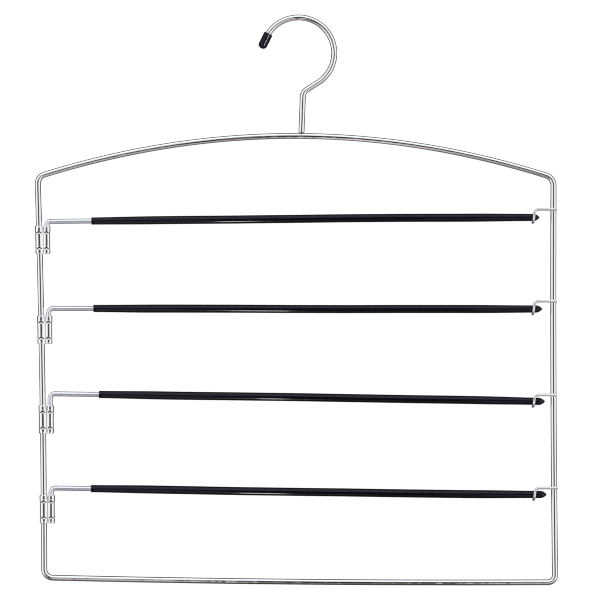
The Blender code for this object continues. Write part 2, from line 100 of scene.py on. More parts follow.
# A sleeve's wander: slow wave and its phase, fine wave and its phase; then one tier's phase and
# the fine wave's share
WANDER_ACROSS = (17, 1.0, 41, 2.0)
WANDER_OVER = (13, 2.3, 37, 1.0)
WANDER_PHASE = 1.9
FINE_WANDER = 0.2

# Shifts of the patterns, in metres, so that like pieces differ
FRAME_SHIFT = 0.0
HOOK_SHIFT = 3.1
CAP_SHIFT = 5.3
CLIP_SHIFT = 0.13
ARM_SHIFT = 0.21
SLEEVE_SHIFT = 1.7
CATCH_SHIFT = 0.9

# Points or steps along each part, and sides round it where they differ from a wire's
ARCH_STEPS = 220
RAIL_STEPS = 150
CORNER_STEPS = 18
RING_POINTS = 121
NECK_STEPS = 14
TIP_STEPS = 18
SADDLE_RIM_POINTS = 6
SADDLE_CLIMB_POINTS = 10
CAP_SIDE_POINTS = 12
CAP_DOME_POINTS = 20
MOUTH_POINTS = 9
RIM_POINTS = 7
CURL_POINTS = 9
LOBE_POINTS = 6
CRIMP_POINTS = 34
BODY_POINTS = 10
BARREL_POINTS = 90
DIP_POINTS = 15
EDGE_POINTS = 6
ELBOW_STEPS = 14
ARM_POINTS = 40
SLEEVE_POINTS = 124
SLEEVE_TIP_POINTS = 18
CATCH_STEPS = 16
CATCH_SIDES = 32
WELD_POINTS = 15
WELD_SIDES = 28
BACKDROP_POINTS = 25
FLOOR_POINTS = 12
STAGE_SIDES = 96

# Camera: sensor in millimetres, and the near and far end of what it sees in metres
SENSOR_WIDTH = 36.0
NEAR_END = 0.05
FAR_END = 60.0

# Degrees off the front (-Y), or over the horizon, between which the studio's light changes
LIGHT_ANGLES = {
    "end_of_boxes": (80, 104),
    "rear_wall": (153, 166),
    "ceiling": (25, 50),
    "ground": (-45, -25),
    "camera_sides": (21, 28),
    "camera_bottom": (-9, -6),
    "camera_top": (4, 7),
    "mast_sides": (16, 30),
    "mast_bottom": (-48, -38),
    "mast_foot": (-11, -7),
    "mast_top": (17, 24),
    "cool_ceiling": (0, 50),
    "warm_ground": (-50, -20),
}

# Shares of a direction, across (X) or in depth (Y), between which it changes
LIGHT_SHARES = {
    "ceiling_depth": (-0.3, 0.2),
    "ground_depth": (-0.1, 0.3),
    "ground_left": (-0.13, -0.09),
    "ground_middle": (-0.02, 0.01),
    "ground_right": (0.045, 0.06),
    "mast_left": (-0.045, -0.012),
    "mast_right": (0.14, 0.2),
    "foot_far_left": (-0.12, -0.088),
    "foot_right": (0.045, 0.06),
}


# Sizes and colours that a user may change


def size(name, millimetres, description):
    """Length property, given in millimetres and kept in metres."""
    return FloatProperty(
        name=name, description=description, default=millimetres * MM, precision=5, unit="LENGTH"
    )


def turn(name, degrees, description):
    """Angle property, given in degrees."""
    return FloatProperty(
        name=name, description=description, default=math.radians(degrees), subtype="ANGLE"
    )


def shares(name, values, description):
    """One share for each tier, from the top one down."""
    return FloatVectorProperty(name=name, description=description, size=TIERS, default=values)


def tone(name, colour, description):
    """Colour property."""
    return FloatVectorProperty(
        name=name, description=description, size=3, default=colour, min=0, max=1, subtype="COLOR"
    )


def amount(name, value, description, highest=1.0):
    """Plain number from nothing to its highest."""
    return FloatProperty(name=name, description=description, default=value, min=0, max=highest)


def power(name, watts, description):
    """Power of a lamp."""
    return FloatProperty(name=name, description=description, default=watts, min=0, unit="POWER")


def spot(name, millimetres, description):
    """Point in space, given in millimetres and kept in metres."""
    place = tuple(value * MM for value in millimetres)
    return FloatVectorProperty(
        name=name, description=description, size=3, default=place, subtype="TRANSLATION"
    )


class FrameSizes(bpy.types.PropertyGroup):
    """Closed wire loop: shallow arch, two side rails and a foot rail."""

    wire: size("Wire", 4.57, "Diameter of the frame's wire")
    seat_to_arch: size("Seat to arch", 86.6, "Drop from the rod seat to the top of the arch")
    width: size("Width", 386.9, "Distance between the side rails at the shoulders")
    shift_left: size("Shift left", 2.25, "How far the frame's middle lies left of the rod seat")
    arch_rise: size("Arch rise", 31.0, "Height of the arch over its shoulders")
    shoulder_tilt: size("Shoulder tilt", 0.8, "How much lower the right shoulder lies")
    side_height: size("Side height", 301.9, "Drop from the shoulders to the foot rail")
    foot_tilt: size("Foot tilt", 3.55, "How much lower the foot rail lies at the right")
    left_foot_inset: size("Left foot inset", 4.95, "How far the left rail leans in at its foot")
    right_foot_outset: size(
        "Right foot outset", 1.2, "How far the right rail leans out at its foot"
    )
    left_bow: size("Left bow", 1.0, "Bow of the left rail, to the right")
    right_bow: size("Right bow", 0.7, "Bow of the right rail, to the left")
    foot_bow: size("Foot bow", 1.4, "Sag of the foot rail")
    left_shoulder_bend: size("Left shoulder bend", 7.0, "Bend radius at the left shoulder")
    right_shoulder_bend: size("Right shoulder bend", 8.0, "Bend radius at the right shoulder")
    right_foot_bend: size("Right foot bend", 5.5, "Bend radius at the right foot")
    left_foot_bend: size("Left foot bend", 6.5, "Bend radius at the left foot")


class HookSizes(bpy.types.PropertyGroup):
    """Open ring and short stem of one wire, welded on the arch, and the cap on its tip."""

    wire: size("Wire", 4.54, "Diameter of the hook's wire")
    ring: size("Ring radius", 26.0, "Radius of the ring where it leaves the neck")
    ring_growth: size("Ring growth", 1.5, "How much wider the ring is at its tip")
    ring_shift: size("Ring shift", 0.3, "How far the ring's middle lies right of the rod seat")
    ring_start: turn("Ring start", -58, "Angle at which the ring leaves the neck")
    ring_end: turn("Ring end", 142, "Angle at which the ring runs into the tip")
    neck_length: size("Neck length", 12.7, "Straight run between the ring and the stem")
    neck_bend: size("Neck bend", 6.3, "Bend radius between the neck and the stem")
    stem_lean: size("Stem lean", 1.15, "How far the stem leans to the left at its foot")
    tip_bend: size("Tip bend", 11.0, "Bend radius between the ring and the tip")
    tip_lean: turn("Tip lean", 26.3, "Angle of the tip from the upright")
    joint_gap: size("Joint gap", 0.3, "Dark joint between the stem's end and the arch")
    nugget: size("Weld nugget", 2.8, "Diameter of the weld between the stem and the arch")
    cap: size("Cap", 6.8, "Diameter of the cap")
    cap_length: size("Cap length", 12.4, "Length of the cap")
    cap_end_wall: size("Cap end wall", 3.2, "Solid end of the cap")
    cap_dome: size("Cap dome", 3.1, "Height of the cap's domed end")
    cap_lip: size("Cap lip", 0.35, "Rounding of the cap's mouth")
    cap_gap: size("Cap gap", 0.3, "Room between the cap and the wire")


class ClipSizes(bpy.types.PropertyGroup):
    """Sheet rolled into two barrels, one round the side rail and one round the arm's leg."""

    sheet: size("Sheet", 0.5, "Thickness of the sheet")
    height: size("Height", 21.2, "Height of a clip")
    rail_room: size("Rail room", 0.35, "Room between the side rail and its barrel")
    leg_room: size("Leg room", 0.4, "Room between the arm's leg and its barrel")
    web_bend: size("Web bend", 1.1, "Bend radius of the dip between the barrels")
    crimp_gap: size("Crimp gap", 0.2, "Room left where a crimp is pressed in")
    crimp_from_end: size("Crimp from end", 4.7, "Distance of a crimp from the nearer end")
    crimp_slope: size("Crimp slope", 1.2, "Height of a crimp under its deepest line")
    crimp_brow: size("Crimp brow", 1.1, "Height of a crimp over its deepest line")
    crimp_half_turn: turn("Crimp half turn", 62, "Half of a crimp's width, round the barrel")
    crimp_sag: size("Crimp sag", 0.8, "How much lower a crimp lies beside its middle")
    sag_turn: turn("Sag turn", 35, "Turn round the barrel over which a crimp sags")
    crimp_depth: size("Crimp depth", 0.55, "Depth of a crimp at the front")
    groove: size("Groove", 0.12, "Depth of a crimp all round the barrel")
    swell: size("Swell", 0.08, "How far the ends swell out past the crimps")
    squeeze: size("Squeeze", 0.1, "How far the barrel is squeezed between its crimps")
    flattening: size("Flattening", 0.1, "How far the barrel's front is flattened")
    flat_half_turn: turn("Flat half turn", 60, "Half of the flattened part, round the barrel")
    curl_length: size("Curl length", 1.0, "Height of the curl at each end")
    curl_depth: size("Curl depth", 0.38, "How far each end is curled in")
    rail_seam: turn("Rail seam", 40, "Angle of the free edge behind the rail")
    leg_seam: turn("Leg seam", 42, "Angle of the free edge behind the leg")
    places: shares(
        "Places", (0.157, 0.3798, 0.6026, 0.8255), "Height of each clip, by the side rail"
    )


class ArmSizes(bpy.types.PropertyGroup):
    """L shaped wire that swings in its clip, and the soft sleeve over it."""

    wire: size("Wire", 3.8, "Diameter of the arm's wire")
    tip_room: size("Tip room", 8.0, "Distance from the sleeve's tip to the right rail")
    tip_room_shares: shares(
        "Tip room shares", (1.3, 1.02, 0.8, 0.7), "Share of the tip room of each arm"
    )
    rise: size("Rise", 13.9, "Height of the arm over the middle of its clip")
    lift: size("Lift", 5.3, "How far an arm may be lifted out of its clip")
    lift_shares: shares("Lift shares", (0.0, 0.39, 1.0, 0.36), "Share of the lift of each arm")
    elbow: size("Elbow", 3.5, "Bend radius between the leg and the arm")
    end_room: size("End room", 0.6, "How far the leg ends over the clip's lower end")
    chamfer: size("Chamfer", 0.35, "Rounding of each wire's ends")
    bare: size("Bare length", 33.6, "Length of bare wire between the leg and the sleeve")
    bare_shares: shares(
        "Bare shares", (1.0, 1.0, 1.09, 0.89), "Share of the bare length of each arm"
    )
    sleeve: size("Sleeve", 6.3, "Diameter of the sleeve")
    sleeve_end: size("Sleeve end", 5.6, "Diameter of the sleeve at its two ends")
    swell: size("Swell length", 50.0, "Length over which the sleeve reaches its diameter")
    tip: size("Tip length", 4.3, "Length of the sleeve's pointed tip")
    tip_power: amount(
        "Tip power", 1.45, "Form of the tip's outline: 1 is a cone and 2 an ellipse", 3
    )
    end_wall: size("End wall", 5.0, "Solid end of the sleeve")
    lip: size("Lip", 0.35, "Rounding of the sleeve's mouth")
    gap: size("Sleeve gap", 0.3, "Room between the sleeve and its wire")
    bow: size("Bow", 0.5, "How far an arm is bowed up or down")
    bow_shares: shares("Bow shares", (1.0, -0.4, 0.6, -1.0), "Share of the bow of each arm")
    wander: size("Wander", 0.07, "How far the soft sleeve strays from its wire's line")


class CatchSizes(bpy.types.PropertyGroup):
    """Thin wire across the front of the right rail, down in front of a sleeve and back under it."""

    wire: size("Wire", 2.0, "Diameter of the catch's wire")
    places: shares(
        "Places", (0.0786, 0.3064, 0.539, 0.7698), "Height of each catch, by the side rail"
    )
    reach: size("Reach", 14.2, "Level run from the rail to the bend")
    overhang: size("Overhang", 0.3, "How far the end stands past the rail")
    weld_gap: size("Weld gap", 0.3, "Room between the wire and the rail beside the weld")
    seat_gap: size("Seat gap", 0.19, "Room between the catch and a closed arm")
    drop: size("Drop", 6.0, "Drop from the level run to the arm's middle")
    drop_shares: shares("Drop shares", (1.0, 0.97, 0.815, 0.835), "Share of the drop of each catch")
    lean: size("Lean", 1.0, "How far the drop leans to the left")
    bend: size("Bend", 3.2, "Bend radius between the level run and the drop")
    lip_sweep: size("Lip sweep", 0.5, "How far the lip sweeps to the left")
    lip_reach: size("Lip reach", 1.2, "How far the lip reaches behind the arm's middle")
    weld: size("Weld", 3.0, "Width of the weld on the rail")


class Finishes(bpy.types.PropertyGroup):
    """Colours and gloss of the hanger's metals and plastics."""

    chrome: tone("Chrome", (0.83, 0.825, 0.835), "Colour of the plated frame, hook and catches")
    chrome_haze: amount("Chrome haze", 0.05, "Roughness of the cleanest chrome")
    catch_haze: amount("Catch haze", 0.07, "Roughness of the cleanest catches")
    heat: tone("Weld heat", (0.31, 0.27, 0.25), "Tint of the stem beside its weld")
    sheet: tone("Sheet", (0.86, 0.855, 0.87), "Colour of the plated clips")
    sheet_haze: amount("Sheet haze", 0.05, "Roughness of the cleanest clips")
    satin: tone("Satin wire", (0.89, 0.905, 0.99), "Colour of the arm's bare wire")
    satin_edge: tone("Satin edge", (0.3, 0.3, 0.34), "Tint of the bare wire's shine at its edges")
    satin_haze: amount("Satin haze", 0.28, "Roughness of the arm's bare wire")
    vinyl: tone("Vinyl", (0.004, 0.0035, 0.006), "Colour of the sleeves and the cap")
    vinyl_gloss: tone("Vinyl gloss", (0.72, 0.70, 1.0), "Tint of the shine on the vinyl")
    vinyl_haze: amount("Vinyl haze", 0.045, "Roughness of the sleeves")
    vinyl_shine: amount("Vinyl shine", 0.34, "Strength of the shine on the sleeves")
    cap_haze: amount("Cap haze", 0.07, "Roughness of the cap")
    cap_shine: amount("Cap shine", 0.22, "Strength of the shine on the cap")
    cap_relief: amount("Cap relief", 0.5, "Depth of the cap's ripples, as a share of the sleeves'")


class Studio(bpy.types.PropertyGroup):
    """Camera, backdrop, floor and light."""

    view_width: size("View width", 450.0, "Width of what the camera sees at the hanger")
    camera_distance: size("Camera distance", 2400.0, "Distance from the camera to the hanger")
    aim_x: size("Aim across", 1.05, "Place of the view's middle, across")
    aim_z: size("Aim up", -209.6, "Place of the view's middle, up")
    floor_drop: size("Floor drop", 2700.0, "Depth of the floor under the rod seat")
    backdrop: size("Backdrop radius", 9000.0, "Radius of the round backdrop")
    backdrop_glow: amount("Backdrop glow", 1.05, "Brightness of the backdrop", 10)
    pale: tone("Floor", (0.86, 0.86, 0.86), "Colour of the floor")
    pale_glow: amount("Floor glow", 0.45, "Brightness of the floor's own glow", 10)
    box_light: amount("Side light", 1.08, "Brightness of the soft boxes beside the camera", 10)
    top_light: amount("Top light", 1.35, "Brightness of the soft light overhead", 10)
    rear_light: amount("Rear light", 0.9, "Brightness of the wall behind the hanger", 10)
    corner_light: amount("Corner light", 0.05, "Brightness of the room's back corners", 10)
    camera_shade: amount("Camera shade", 0.08, "Brightness beside the camera", 10)
    mast_shade: amount("Mast shade", 0.008, "Brightness over and under the camera", 10)
    front_floor: amount("Front floor", 0.85, "Brightness of the floor in front, at its left", 10)
    right_floor: amount("Right floor", 0.4, "Brightness of the floor in front, at its right", 10)
    side_floor: amount("Side floor", 0.5, "Brightness of the floor in front, far to the right", 10)
    back_floor: amount("Back floor", 0.2, "Brightness of the floor behind the hanger", 10)
    wall_tint: tone("Wall tint", (1.0, 0.985, 0.995), "Tint of the light from the walls")
    ceiling_tint: tone("Ceiling tint", (0.93, 0.96, 1.0), "Tint of the light from the ceiling")
    ground_tint: tone("Ground tint", (1.0, 0.94, 0.97), "Tint of the light from the floor")
    lamp_colour: tone("Lamp colour", (0.97, 1.0, 0.7), "Colour of the lamps that light the vinyl")
    card: size("Card", 600.0, "Width of the dark card under the hanger")
    card_depth: amount("Card depth", 0.2, "Depth of the card as a share of its width")
    card_drop: size("Card drop", 75.0, "How far the dark card lies under the foot rail")
    card_middle: tone("Card middle", (0.07, 0.07, 0.075), "Colour of the card's middle")
    card_side: tone("Card side", (0.19, 0.18, 0.205), "Colour of the card's two sides")
    low_power: power("Low power", 3.2, "Power of the low lamp")
    low_width: size("Low width", 55.0, "Width of the low lamp")
    low_length: size("Low length", 800.0, "Length of the low lamp")
    low_place: spot("Low place", (-65, -1120, -1950), "Place of the low lamp")
    low_aim: spot("Low aim", (-65, 0, -250), "Point at which the low lamp is aimed")
    strip_power: power("Strip power", 62.0, "Power of the strip lamp")
    strip_width: size("Strip width", 200.0, "Width of the strip lamp")
    strip_length: size("Strip length", 1200.0, "Length of the strip lamp")
    strip_place: spot("Strip place", (1080, -1780, -420), "Place of the strip lamp")
    strip_aim: spot("Strip aim", (0, 0, -200), "Point at which the strip lamp is aimed")


class TrouserHanger(bpy.types.PropertyGroup):
    """All sizes and finishes of the hanger."""

    frame: PointerProperty(type=FrameSizes)
    hook: PointerProperty(type=HookSizes)
    clip: PointerProperty(type=ClipSizes)
    arm: PointerProperty(type=ArmSizes)
    catch: PointerProperty(type=CatchSizes)
    finishes: PointerProperty(type=Finishes)
    studio: PointerProperty(type=Studio)
    sides: IntProperty(
        name="Wire sides", description="Faces round a wire", default=48, min=12, max=96
    )


# Directions, curves and paths


def unit(vectors):
    """Vectors divided by their lengths."""
    return vectors / np.linalg.norm(vectors, axis=-1, keepdims=True)


def angle_between(a, b):
    """Angle from the dot product of two unit vectors."""
    return math.acos(float(np.clip(unit(a) @ unit(b), -1, 1)))


def bowed(start, end, bow, share):
    """Points of a bowed side: the chord plus a bow of 4 s (1 - s), which is full in its middle."""
    s = np.atleast_1d(share)[:, None]
    return start + (end - start) * s + bow * (4 * s * (1 - s))


def bowed_run(start, end, bow, share):
    """Derivative of a bowed side by its share: the chord plus the bow times 4 (1 - 2 s)."""
    return end - start + bow * (4 * (1 - 2 * share))


def bend(start, run_in, end, run_out, radius, steps):
    """Cubic curve near an arc: handles of 4/3 tan(turn / 4) radii along the two runs."""
    handle = radius * 4 / 3 * math.tan(angle_between(run_in, run_out) / 4)
    first = start + unit(run_in) * handle
    last = end - unit(run_out) * handle
    t = np.linspace(0, 1, steps + 1)[:, None]
    u = 1 - t
    return start * u**3 + first * (3 * u * u * t) + last * (3 * u * t * t) + end * t**3


def bent_path(corners, radii, steps):
    """Straight runs through the corners, whose bends start r tan(turn / 2) before them."""
    parts = [corners[:1]]
    for before, corner, after, radius in zip(corners, corners[1:], corners[2:], radii):
        run_in = corner - before
        run_out = after - corner
        trim = radius * math.tan(angle_between(run_in, run_out) / 2)
        start = corner - unit(run_in) * trim
        end = corner + unit(run_out) * trim
        parts.append(bend(start, run_in, end, run_out, radius, steps))
    return np.concatenate(parts + [corners[-1:]])


def without_repeats(path):
    """The path with points left out that lie on the one before them."""
    steps = np.linalg.norm(np.diff(path, axis=0), axis=-1)
    return path[np.concatenate(((True,), steps > MERGE_DISTANCE))]


def directions(path, closed=False):
    """Direction at each point: the mean of the unit runs before it and after it."""
    if closed:
        runs = unit(np.roll(path, -1, axis=0) - path)
        return unit(runs + np.roll(runs, 1, axis=0))
    runs = unit(np.diff(path, axis=0))
    before = np.concatenate((runs[:1], runs))
    after = np.concatenate((runs, runs[-1:]))
    return unit(before + after)


# Surfaces


def surface(rows, round_along=False, round_across=True):
    """Grid of points as (points, quads, UV corners).

    Neighbours i, j make the quads. U is the length along the first column and V the length round
    the widest row, both in metres, so a pattern keeps its size on every piece.
    """
    count, width = rows.shape[:2]
    i, j = np.meshgrid(
        np.arange(count if round_along else count - 1),
        np.arange(width if round_across else width - 1),
        indexing="ij",
    )
    after = (i + 1) % count
    beside = (j + 1) % width
    quads = np.stack(
        (i * width + j, i * width + beside, after * width + beside, after * width + j), -1
    )
    looped = np.concatenate((rows, rows[:1]))
    lengths = np.linalg.norm(np.diff(looped[:, 0], axis=0), axis=-1)
    along = np.concatenate(((0,), np.cumsum(lengths)))
    wide = np.concatenate((rows, rows[:, :1]), axis=1)
    steps = np.linalg.norm(np.diff(wide, axis=1), axis=-1)
    across = np.concatenate(((0,), np.cumsum(steps[np.argmax(steps.sum(1))])))
    u = np.stack((along[i], along[i], along[i + 1], along[i + 1]), -1)
    v = np.stack((across[j], across[j + 1], across[j + 1], across[j]), -1)
    return rows.reshape(-1, 3), quads.reshape(-1, 4), np.stack((u, v), -1).reshape(-1, 2)


def joined(*parts):
    """Several surfaces as one, with the quads of each counted on from those before."""
    starts = np.cumsum([0] + [len(points) for points, _, _ in parts[:-1]])
    points = np.concatenate([part[0] for part in parts])
    quads = np.concatenate([part[1] + start for part, start in zip(parts, starts)])
    return points, quads, np.concatenate([part[2] for part in parts])


def mesh_of(name, shape, values=None):
    """Smooth mesh of a surface, its poles and seams closed; values are kept as an attribute."""
    points, quads, corners = shape
    mesh = bpy.data.meshes.new(name)
    mesh.from_pydata(points.tolist(), [], quads.tolist())
    mesh.uv_layers.new(name="length_map").data.foreach_set("uv", corners.astype(np.float32).ravel())
    # Values kept here are the clips' painted crease shade
    if values is not None:
        layer = mesh.attributes.new("pressed", "FLOAT", "POINT")
        layer.data.foreach_set("value", values.astype(np.float32).ravel())
    shell = bmesh.new()
    shell.from_mesh(mesh)
    bmesh.ops.remove_doubles(shell, verts=shell.verts, dist=MERGE_DISTANCE)
    shell.to_mesh(mesh)
    shell.free()
    mesh.shade_smooth()
    return mesh


def put(name, shape, material, body, node, values=None):
    """Piece in the scene with its finish: it hides the CAD node that it stands for and rides on its
    body.
    """
    obj = bpy.data.objects.new(name, mesh_of(name, shape, values))
    obj.data.materials.append(material)
    bpy.context.scene.collection.objects.link(obj)
    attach(obj, body)
    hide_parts(node)
    return obj


def ring(centres, across, over, radii, sides):
    """Circles on given centres: centre + r (cos a across + sin a over)."""
    angle = np.linspace(0, math.tau, sides, endpoint=False)
    spokes = np.cos(angle)[:, None] * across[:, None] + np.sin(angle)[:, None] * over[:, None]
    return centres[:, None] + radii[:, None, None] * spokes


def rounded_end(radius, chamfer, steps=6):
    """Depths and radii of a wire's end: a flat, then a quarter circle up to the full radius."""
    angle = np.linspace(0, math.pi / 2, steps + 1)
    depths = np.concatenate(((0, 0, 0), chamfer * (1 - np.cos(angle))))
    flat = radius - chamfer
    radii = np.concatenate(((0, flat * 0.5, flat * 0.93), flat + chamfer * np.sin(angle)))
    return depths, radii


def tube(path, radius, sides, reference, closed=False, chamfer=None, round_start=True):
    """Rows of a round wire: circles square to the path, whose axis is square to a reference."""
    along = directions(path, closed)
    across = unit(reference - (along @ reference)[:, None] * along)
    over = np.cross(along, across)
    radii = np.full(len(path), radius)
    if chamfer:
        depths, steps = rounded_end(radius, chamfer)
        first, first_radii = path[:1], radii[:1]
        if round_start:
            first, first_radii = path[0] + along[0] * depths[:, None], steps
        last = path[-1] - along[-1] * depths[::-1, None]
        repeats = np.ones(len(path), int)
        repeats[[0, -1]] = len(first), len(last)
        path = np.concatenate((first, path[1:-1], last))
        radii = np.concatenate((first_radii, radii[1:-1], steps[::-1]))
        across = np.repeat(across, repeats, axis=0)
        over = np.repeat(over, repeats, axis=0)
    return ring(path, across, over, radii, sides)


def turned(outline, origin, axis, sides, wander=None):
    """Rows of a turned piece: origin + height along the axis + radius round it, plus any wander."""
    radii, heights = outline
    axis = unit(axis)
    across = unit(BACK - (axis @ BACK) * axis)
    over = np.cross(axis, across)
    centres = origin + heights[:, None] * axis
    if wander is not None:
        centres = centres + wander[:, :1] * across + wander[:, 1:] * over
    count = len(radii)
    return ring(centres, np.tile(across, (count, 1)), np.tile(over, (count, 1)), radii, sides)


def blind_bore(bore, outer, depth, lip):
    """Radii and heights from the flat end of a blind bore to the outside of its round mouth."""
    angle = np.linspace(math.pi, 0, MOUTH_POINTS)
    wall = outer - bore
    mouth = bore + wall / 2 + wall / 2 * np.cos(angle)
    radii = np.concatenate(((0, bore * BLIND_FLAT_SHARE, bore), mouth))
    heights = np.concatenate(((depth, depth, depth - BLIND_BEVEL), lip * (1 - np.sin(angle))))
    return radii, heights


# Places that several pieces share


def frame_corners(sizes):
    """Corner points of the frame's centre line: left and right shoulder, right and left foot."""
    shoulder = -(sizes.seat_to_arch + sizes.arch_rise)
    foot = shoulder - sizes.side_height
    left = -sizes.shift_left - sizes.width / 2
    right = -sizes.shift_left + sizes.width / 2
    return np.array((
        (left, 0, shoulder + sizes.shoulder_tilt / 2),
        (right, 0, shoulder - sizes.shoulder_tilt / 2),
        (right + sizes.right_foot_outset, 0, foot - sizes.foot_tilt / 2),
        (left + sizes.left_foot_inset, 0, foot + sizes.foot_tilt / 2),
    ))


def rail_x(top, foot, bow, z):
    """X of a side rail's centre line at height z: its chord plus the bow's 4 s (1 - s)."""
    share = (z - top[2]) / (foot[2] - top[2])
    return top[0] + (foot[0] - top[0]) * share + bow * 4 * share * (1 - share)


def left_rail_x(hanger, z):
    """X of the left rail's centre line at height z."""
    corners = frame_corners(hanger.frame)
    return rail_x(corners[0], corners[3], hanger.frame.left_bow, z)


def right_rail_x(hanger, z):
    """X of the right rail's centre line at height z."""
    corners = frame_corners(hanger.frame)
    return rail_x(corners[1], corners[2], -hanger.frame.right_bow, z)


def arch_z(hanger, x):
    """Height of the arch's centre line at x."""
    left, right = frame_corners(hanger.frame)[:2]
    share = (x - left[0]) / (right[0] - left[0])
    return left[2] + (right[2] - left[2]) * share + hanger.frame.arch_rise * 4 * share * (1 - share)


def clip_z(hanger, tier):
    """Height of a clip's middle."""
    return frame_corners(hanger.frame)[0][2] - hanger.frame.side_height * hanger.clip.places[tier]


def barrel_radii(hanger):
    """Bore radii of the two barrels: half of each wire plus its room."""
    return (
        hanger.frame.wire / 2 + hanger.clip.rail_room,
        hanger.arm.wire / 2 + hanger.clip.leg_room,
    )


def leg_x(hanger, tier):
    """X of the upright axis on which an arm turns."""
    pitch = sum(barrel_radii(hanger)) + hanger.clip.sheet
    return left_rail_x(hanger, clip_z(hanger, tier)) + pitch


def arm_z(hanger, tier):
    """Height of an arm's centre line at its leg."""
    arm = hanger.arm
    return clip_z(hanger, tier) + arm.rise + arm.lift * arm.lift_shares[tier]


def catch_z(hanger, tier):
    """Height of a catch's level run."""
    return frame_corners(hanger.frame)[1][2] - hanger.frame.side_height * hanger.catch.places[tier]


def catch_x(hanger, tier):
    """X at which a catch turns down in front of the arm."""
    return right_rail_x(hanger, catch_z(hanger, tier)) - hanger.catch.reach


def arm_run(hanger, tier):
    """Unit direction of an arm, from its leg to its seat in the catch."""
    seat = catch_z(hanger, tier) - hanger.catch.drop * hanger.catch.drop_shares[tier]
    rise = seat - arm_z(hanger, tier)
    return unit(np.array((catch_x(hanger, tier) - leg_x(hanger, tier), 0, rise)))


def tip_room(hanger, tier):
    """Level distance from a sleeve's tip to the right rail's centre line."""
    return hanger.arm.tip_room * hanger.arm.tip_room_shares[tier]


def arm_reach(hanger, tier):
    """Length of an arm from its leg to its sleeve's tip: the level distance over the run's X."""
    tip_x = right_rail_x(hanger, catch_z(hanger, tier)) - tip_room(hanger, tier)
    return (tip_x - leg_x(hanger, tier)) / arm_run(hanger, tier)[0]


def arm_bow(hanger, tier, share):
    """How far an arm is bowed up at a share of its reach: 4 s (1 - s), s a power of the share."""
    share = np.clip(share, 0, 1) ** ARM_BOW_POWER
    return hanger.arm.bow * hanger.arm.bow_shares[tier] * 4 * share * (1 - share)


def hook_ring(sizes, angle):
    """Points of the hook's ring, whose radius grows steadily with the angle."""
    span = sizes.ring_end - sizes.ring_start
    angle = np.atleast_1d(angle)
    radius = sizes.ring + sizes.ring_growth * (angle - sizes.ring_start) / span
    top = sizes.ring + sizes.ring_growth * (math.pi / 2 - sizes.ring_start) / span
    x = sizes.ring_shift + radius * np.cos(angle)
    z = sizes.wire / 2 - top + radius * np.sin(angle)
    return np.stack((x, np.zeros_like(x), z), -1)


def hook_tip(sizes):
    """Corner before the straight tip, the cap's mouth on it, and the tip's direction."""
    end = hook_ring(sizes, sizes.ring_end)[0]
    run_in = np.array((-math.sin(sizes.ring_end), 0, math.cos(sizes.ring_end)))
    run_out = np.array((-math.sin(sizes.tip_lean), 0, -math.cos(sizes.tip_lean)))
    trim = sizes.tip_bend * math.tan(angle_between(run_in, run_out) / 2)
    corner = end + run_in * trim
    return corner, corner + run_out * trim, run_out


# Finishes


def add(tree, kind, inputs=(), **settings):
    """Node of a kind with its settings; each input is a socket to join or a plain value."""
    node = tree.nodes.new("ShaderNode" + kind)
    for key, value in settings.items():
        setattr(node, key, value)
    for key, value in dict(inputs).items():
        if isinstance(value, bpy.types.NodeSocket):
            tree.links.new(value, node.inputs[key])
        else:
            node.inputs[key].default_value = value
    return node.outputs[0]


def maths(tree, operation, *values):
    """Math node of one, two or three values."""
    return add(tree, "Math", dict(enumerate(values)), operation=operation)


def ramp(tree, value, low, high, at_low, at_high):
    """Smooth step from one value to another as the input goes from low to high."""
    inputs = {0: value, 1: low, 2: high, 3: at_low, 4: at_high}
    return add(tree, "MapRange", inputs, interpolation_type="SMOOTHSTEP")


def blend(tree, share, first, second):
    """Mix of two plain values or sockets by a share."""
    return add(tree, "Mix", {0: share, 2: first, 3: second})


def colour_blend(tree, share, first, second):
    """Mix of two colours by a share."""
    node = tree.nodes.new("ShaderNodeMix")
    node.data_type = "RGBA"
    tree.links.new(share, node.inputs[0])
    for slot, value in ((6, first), (7, second)):
        if isinstance(value, bpy.types.NodeSocket):
            tree.links.new(value, node.inputs[slot])
        else:
            node.inputs[slot].default_value = (*value, 1)
    return node.outputs[2]


def noise(tree, place, scale, detail=2.0):
    """Noise whose cells are one over the scale, in metres, along each axis of the coordinates."""
    stretched = add(tree, "Mapping", {"Vector": place, "Scale": scale})
    return add(tree, "TexNoise", {"Vector": stretched, "Scale": 1.0, "Detail": detail})


def dents(tree, height, depth, before=None):
    """Bump of a height pattern with its depth in metres, laid over an earlier one."""
    inputs = {"Height": height, "Distance": depth, "Strength": 1.0}
    if before is not None:
        inputs["Normal"] = before
    return add(tree, "Bump", inputs)


def scaled(colour, share):
    """Colour made lighter or darker by a share."""
    return tuple(min(1.0, channel * share) for channel in colour)


def finish(name, colour, metallic, **sockets):
    """Named Principled material, with its tree and shader for the patterns that follow."""
    material = bpy.data.materials.new(name)
    material.use_nodes = True
    tree = material.node_tree
    shader = tree.nodes["Principled BSDF"]
    shader.inputs["Base Color"].default_value = (*colour, 1)
    shader.inputs["Metallic"].default_value = metallic
    for key, value in sockets.items():
        shader.inputs[key.replace("_", " ")].default_value = value
    return material, tree, shader


def dress(tree, shader, colour, worn, share, rough, normal):
    """Joins a finish to its shader: worn colour by a share, roughness and relief."""
    tree.links.new(colour_blend(tree, share, colour, worn), shader.inputs["Base Color"])
    tree.links.new(rough, shader.inputs["Roughness"])
    tree.links.new(normal, shader.inputs["Normal"])


def plus(tree, value, pattern, share):
    """A value plus a share of a pattern."""
    return maths(tree, "ADD", value, maths(tree, "MULTIPLY", pattern, share))


def moved(tree, place, shift):
    """Coordinates moved by a shift, so that like pieces differ."""
    return add(tree, "VectorMath", {0: place, 1: shift}, operation="ADD")


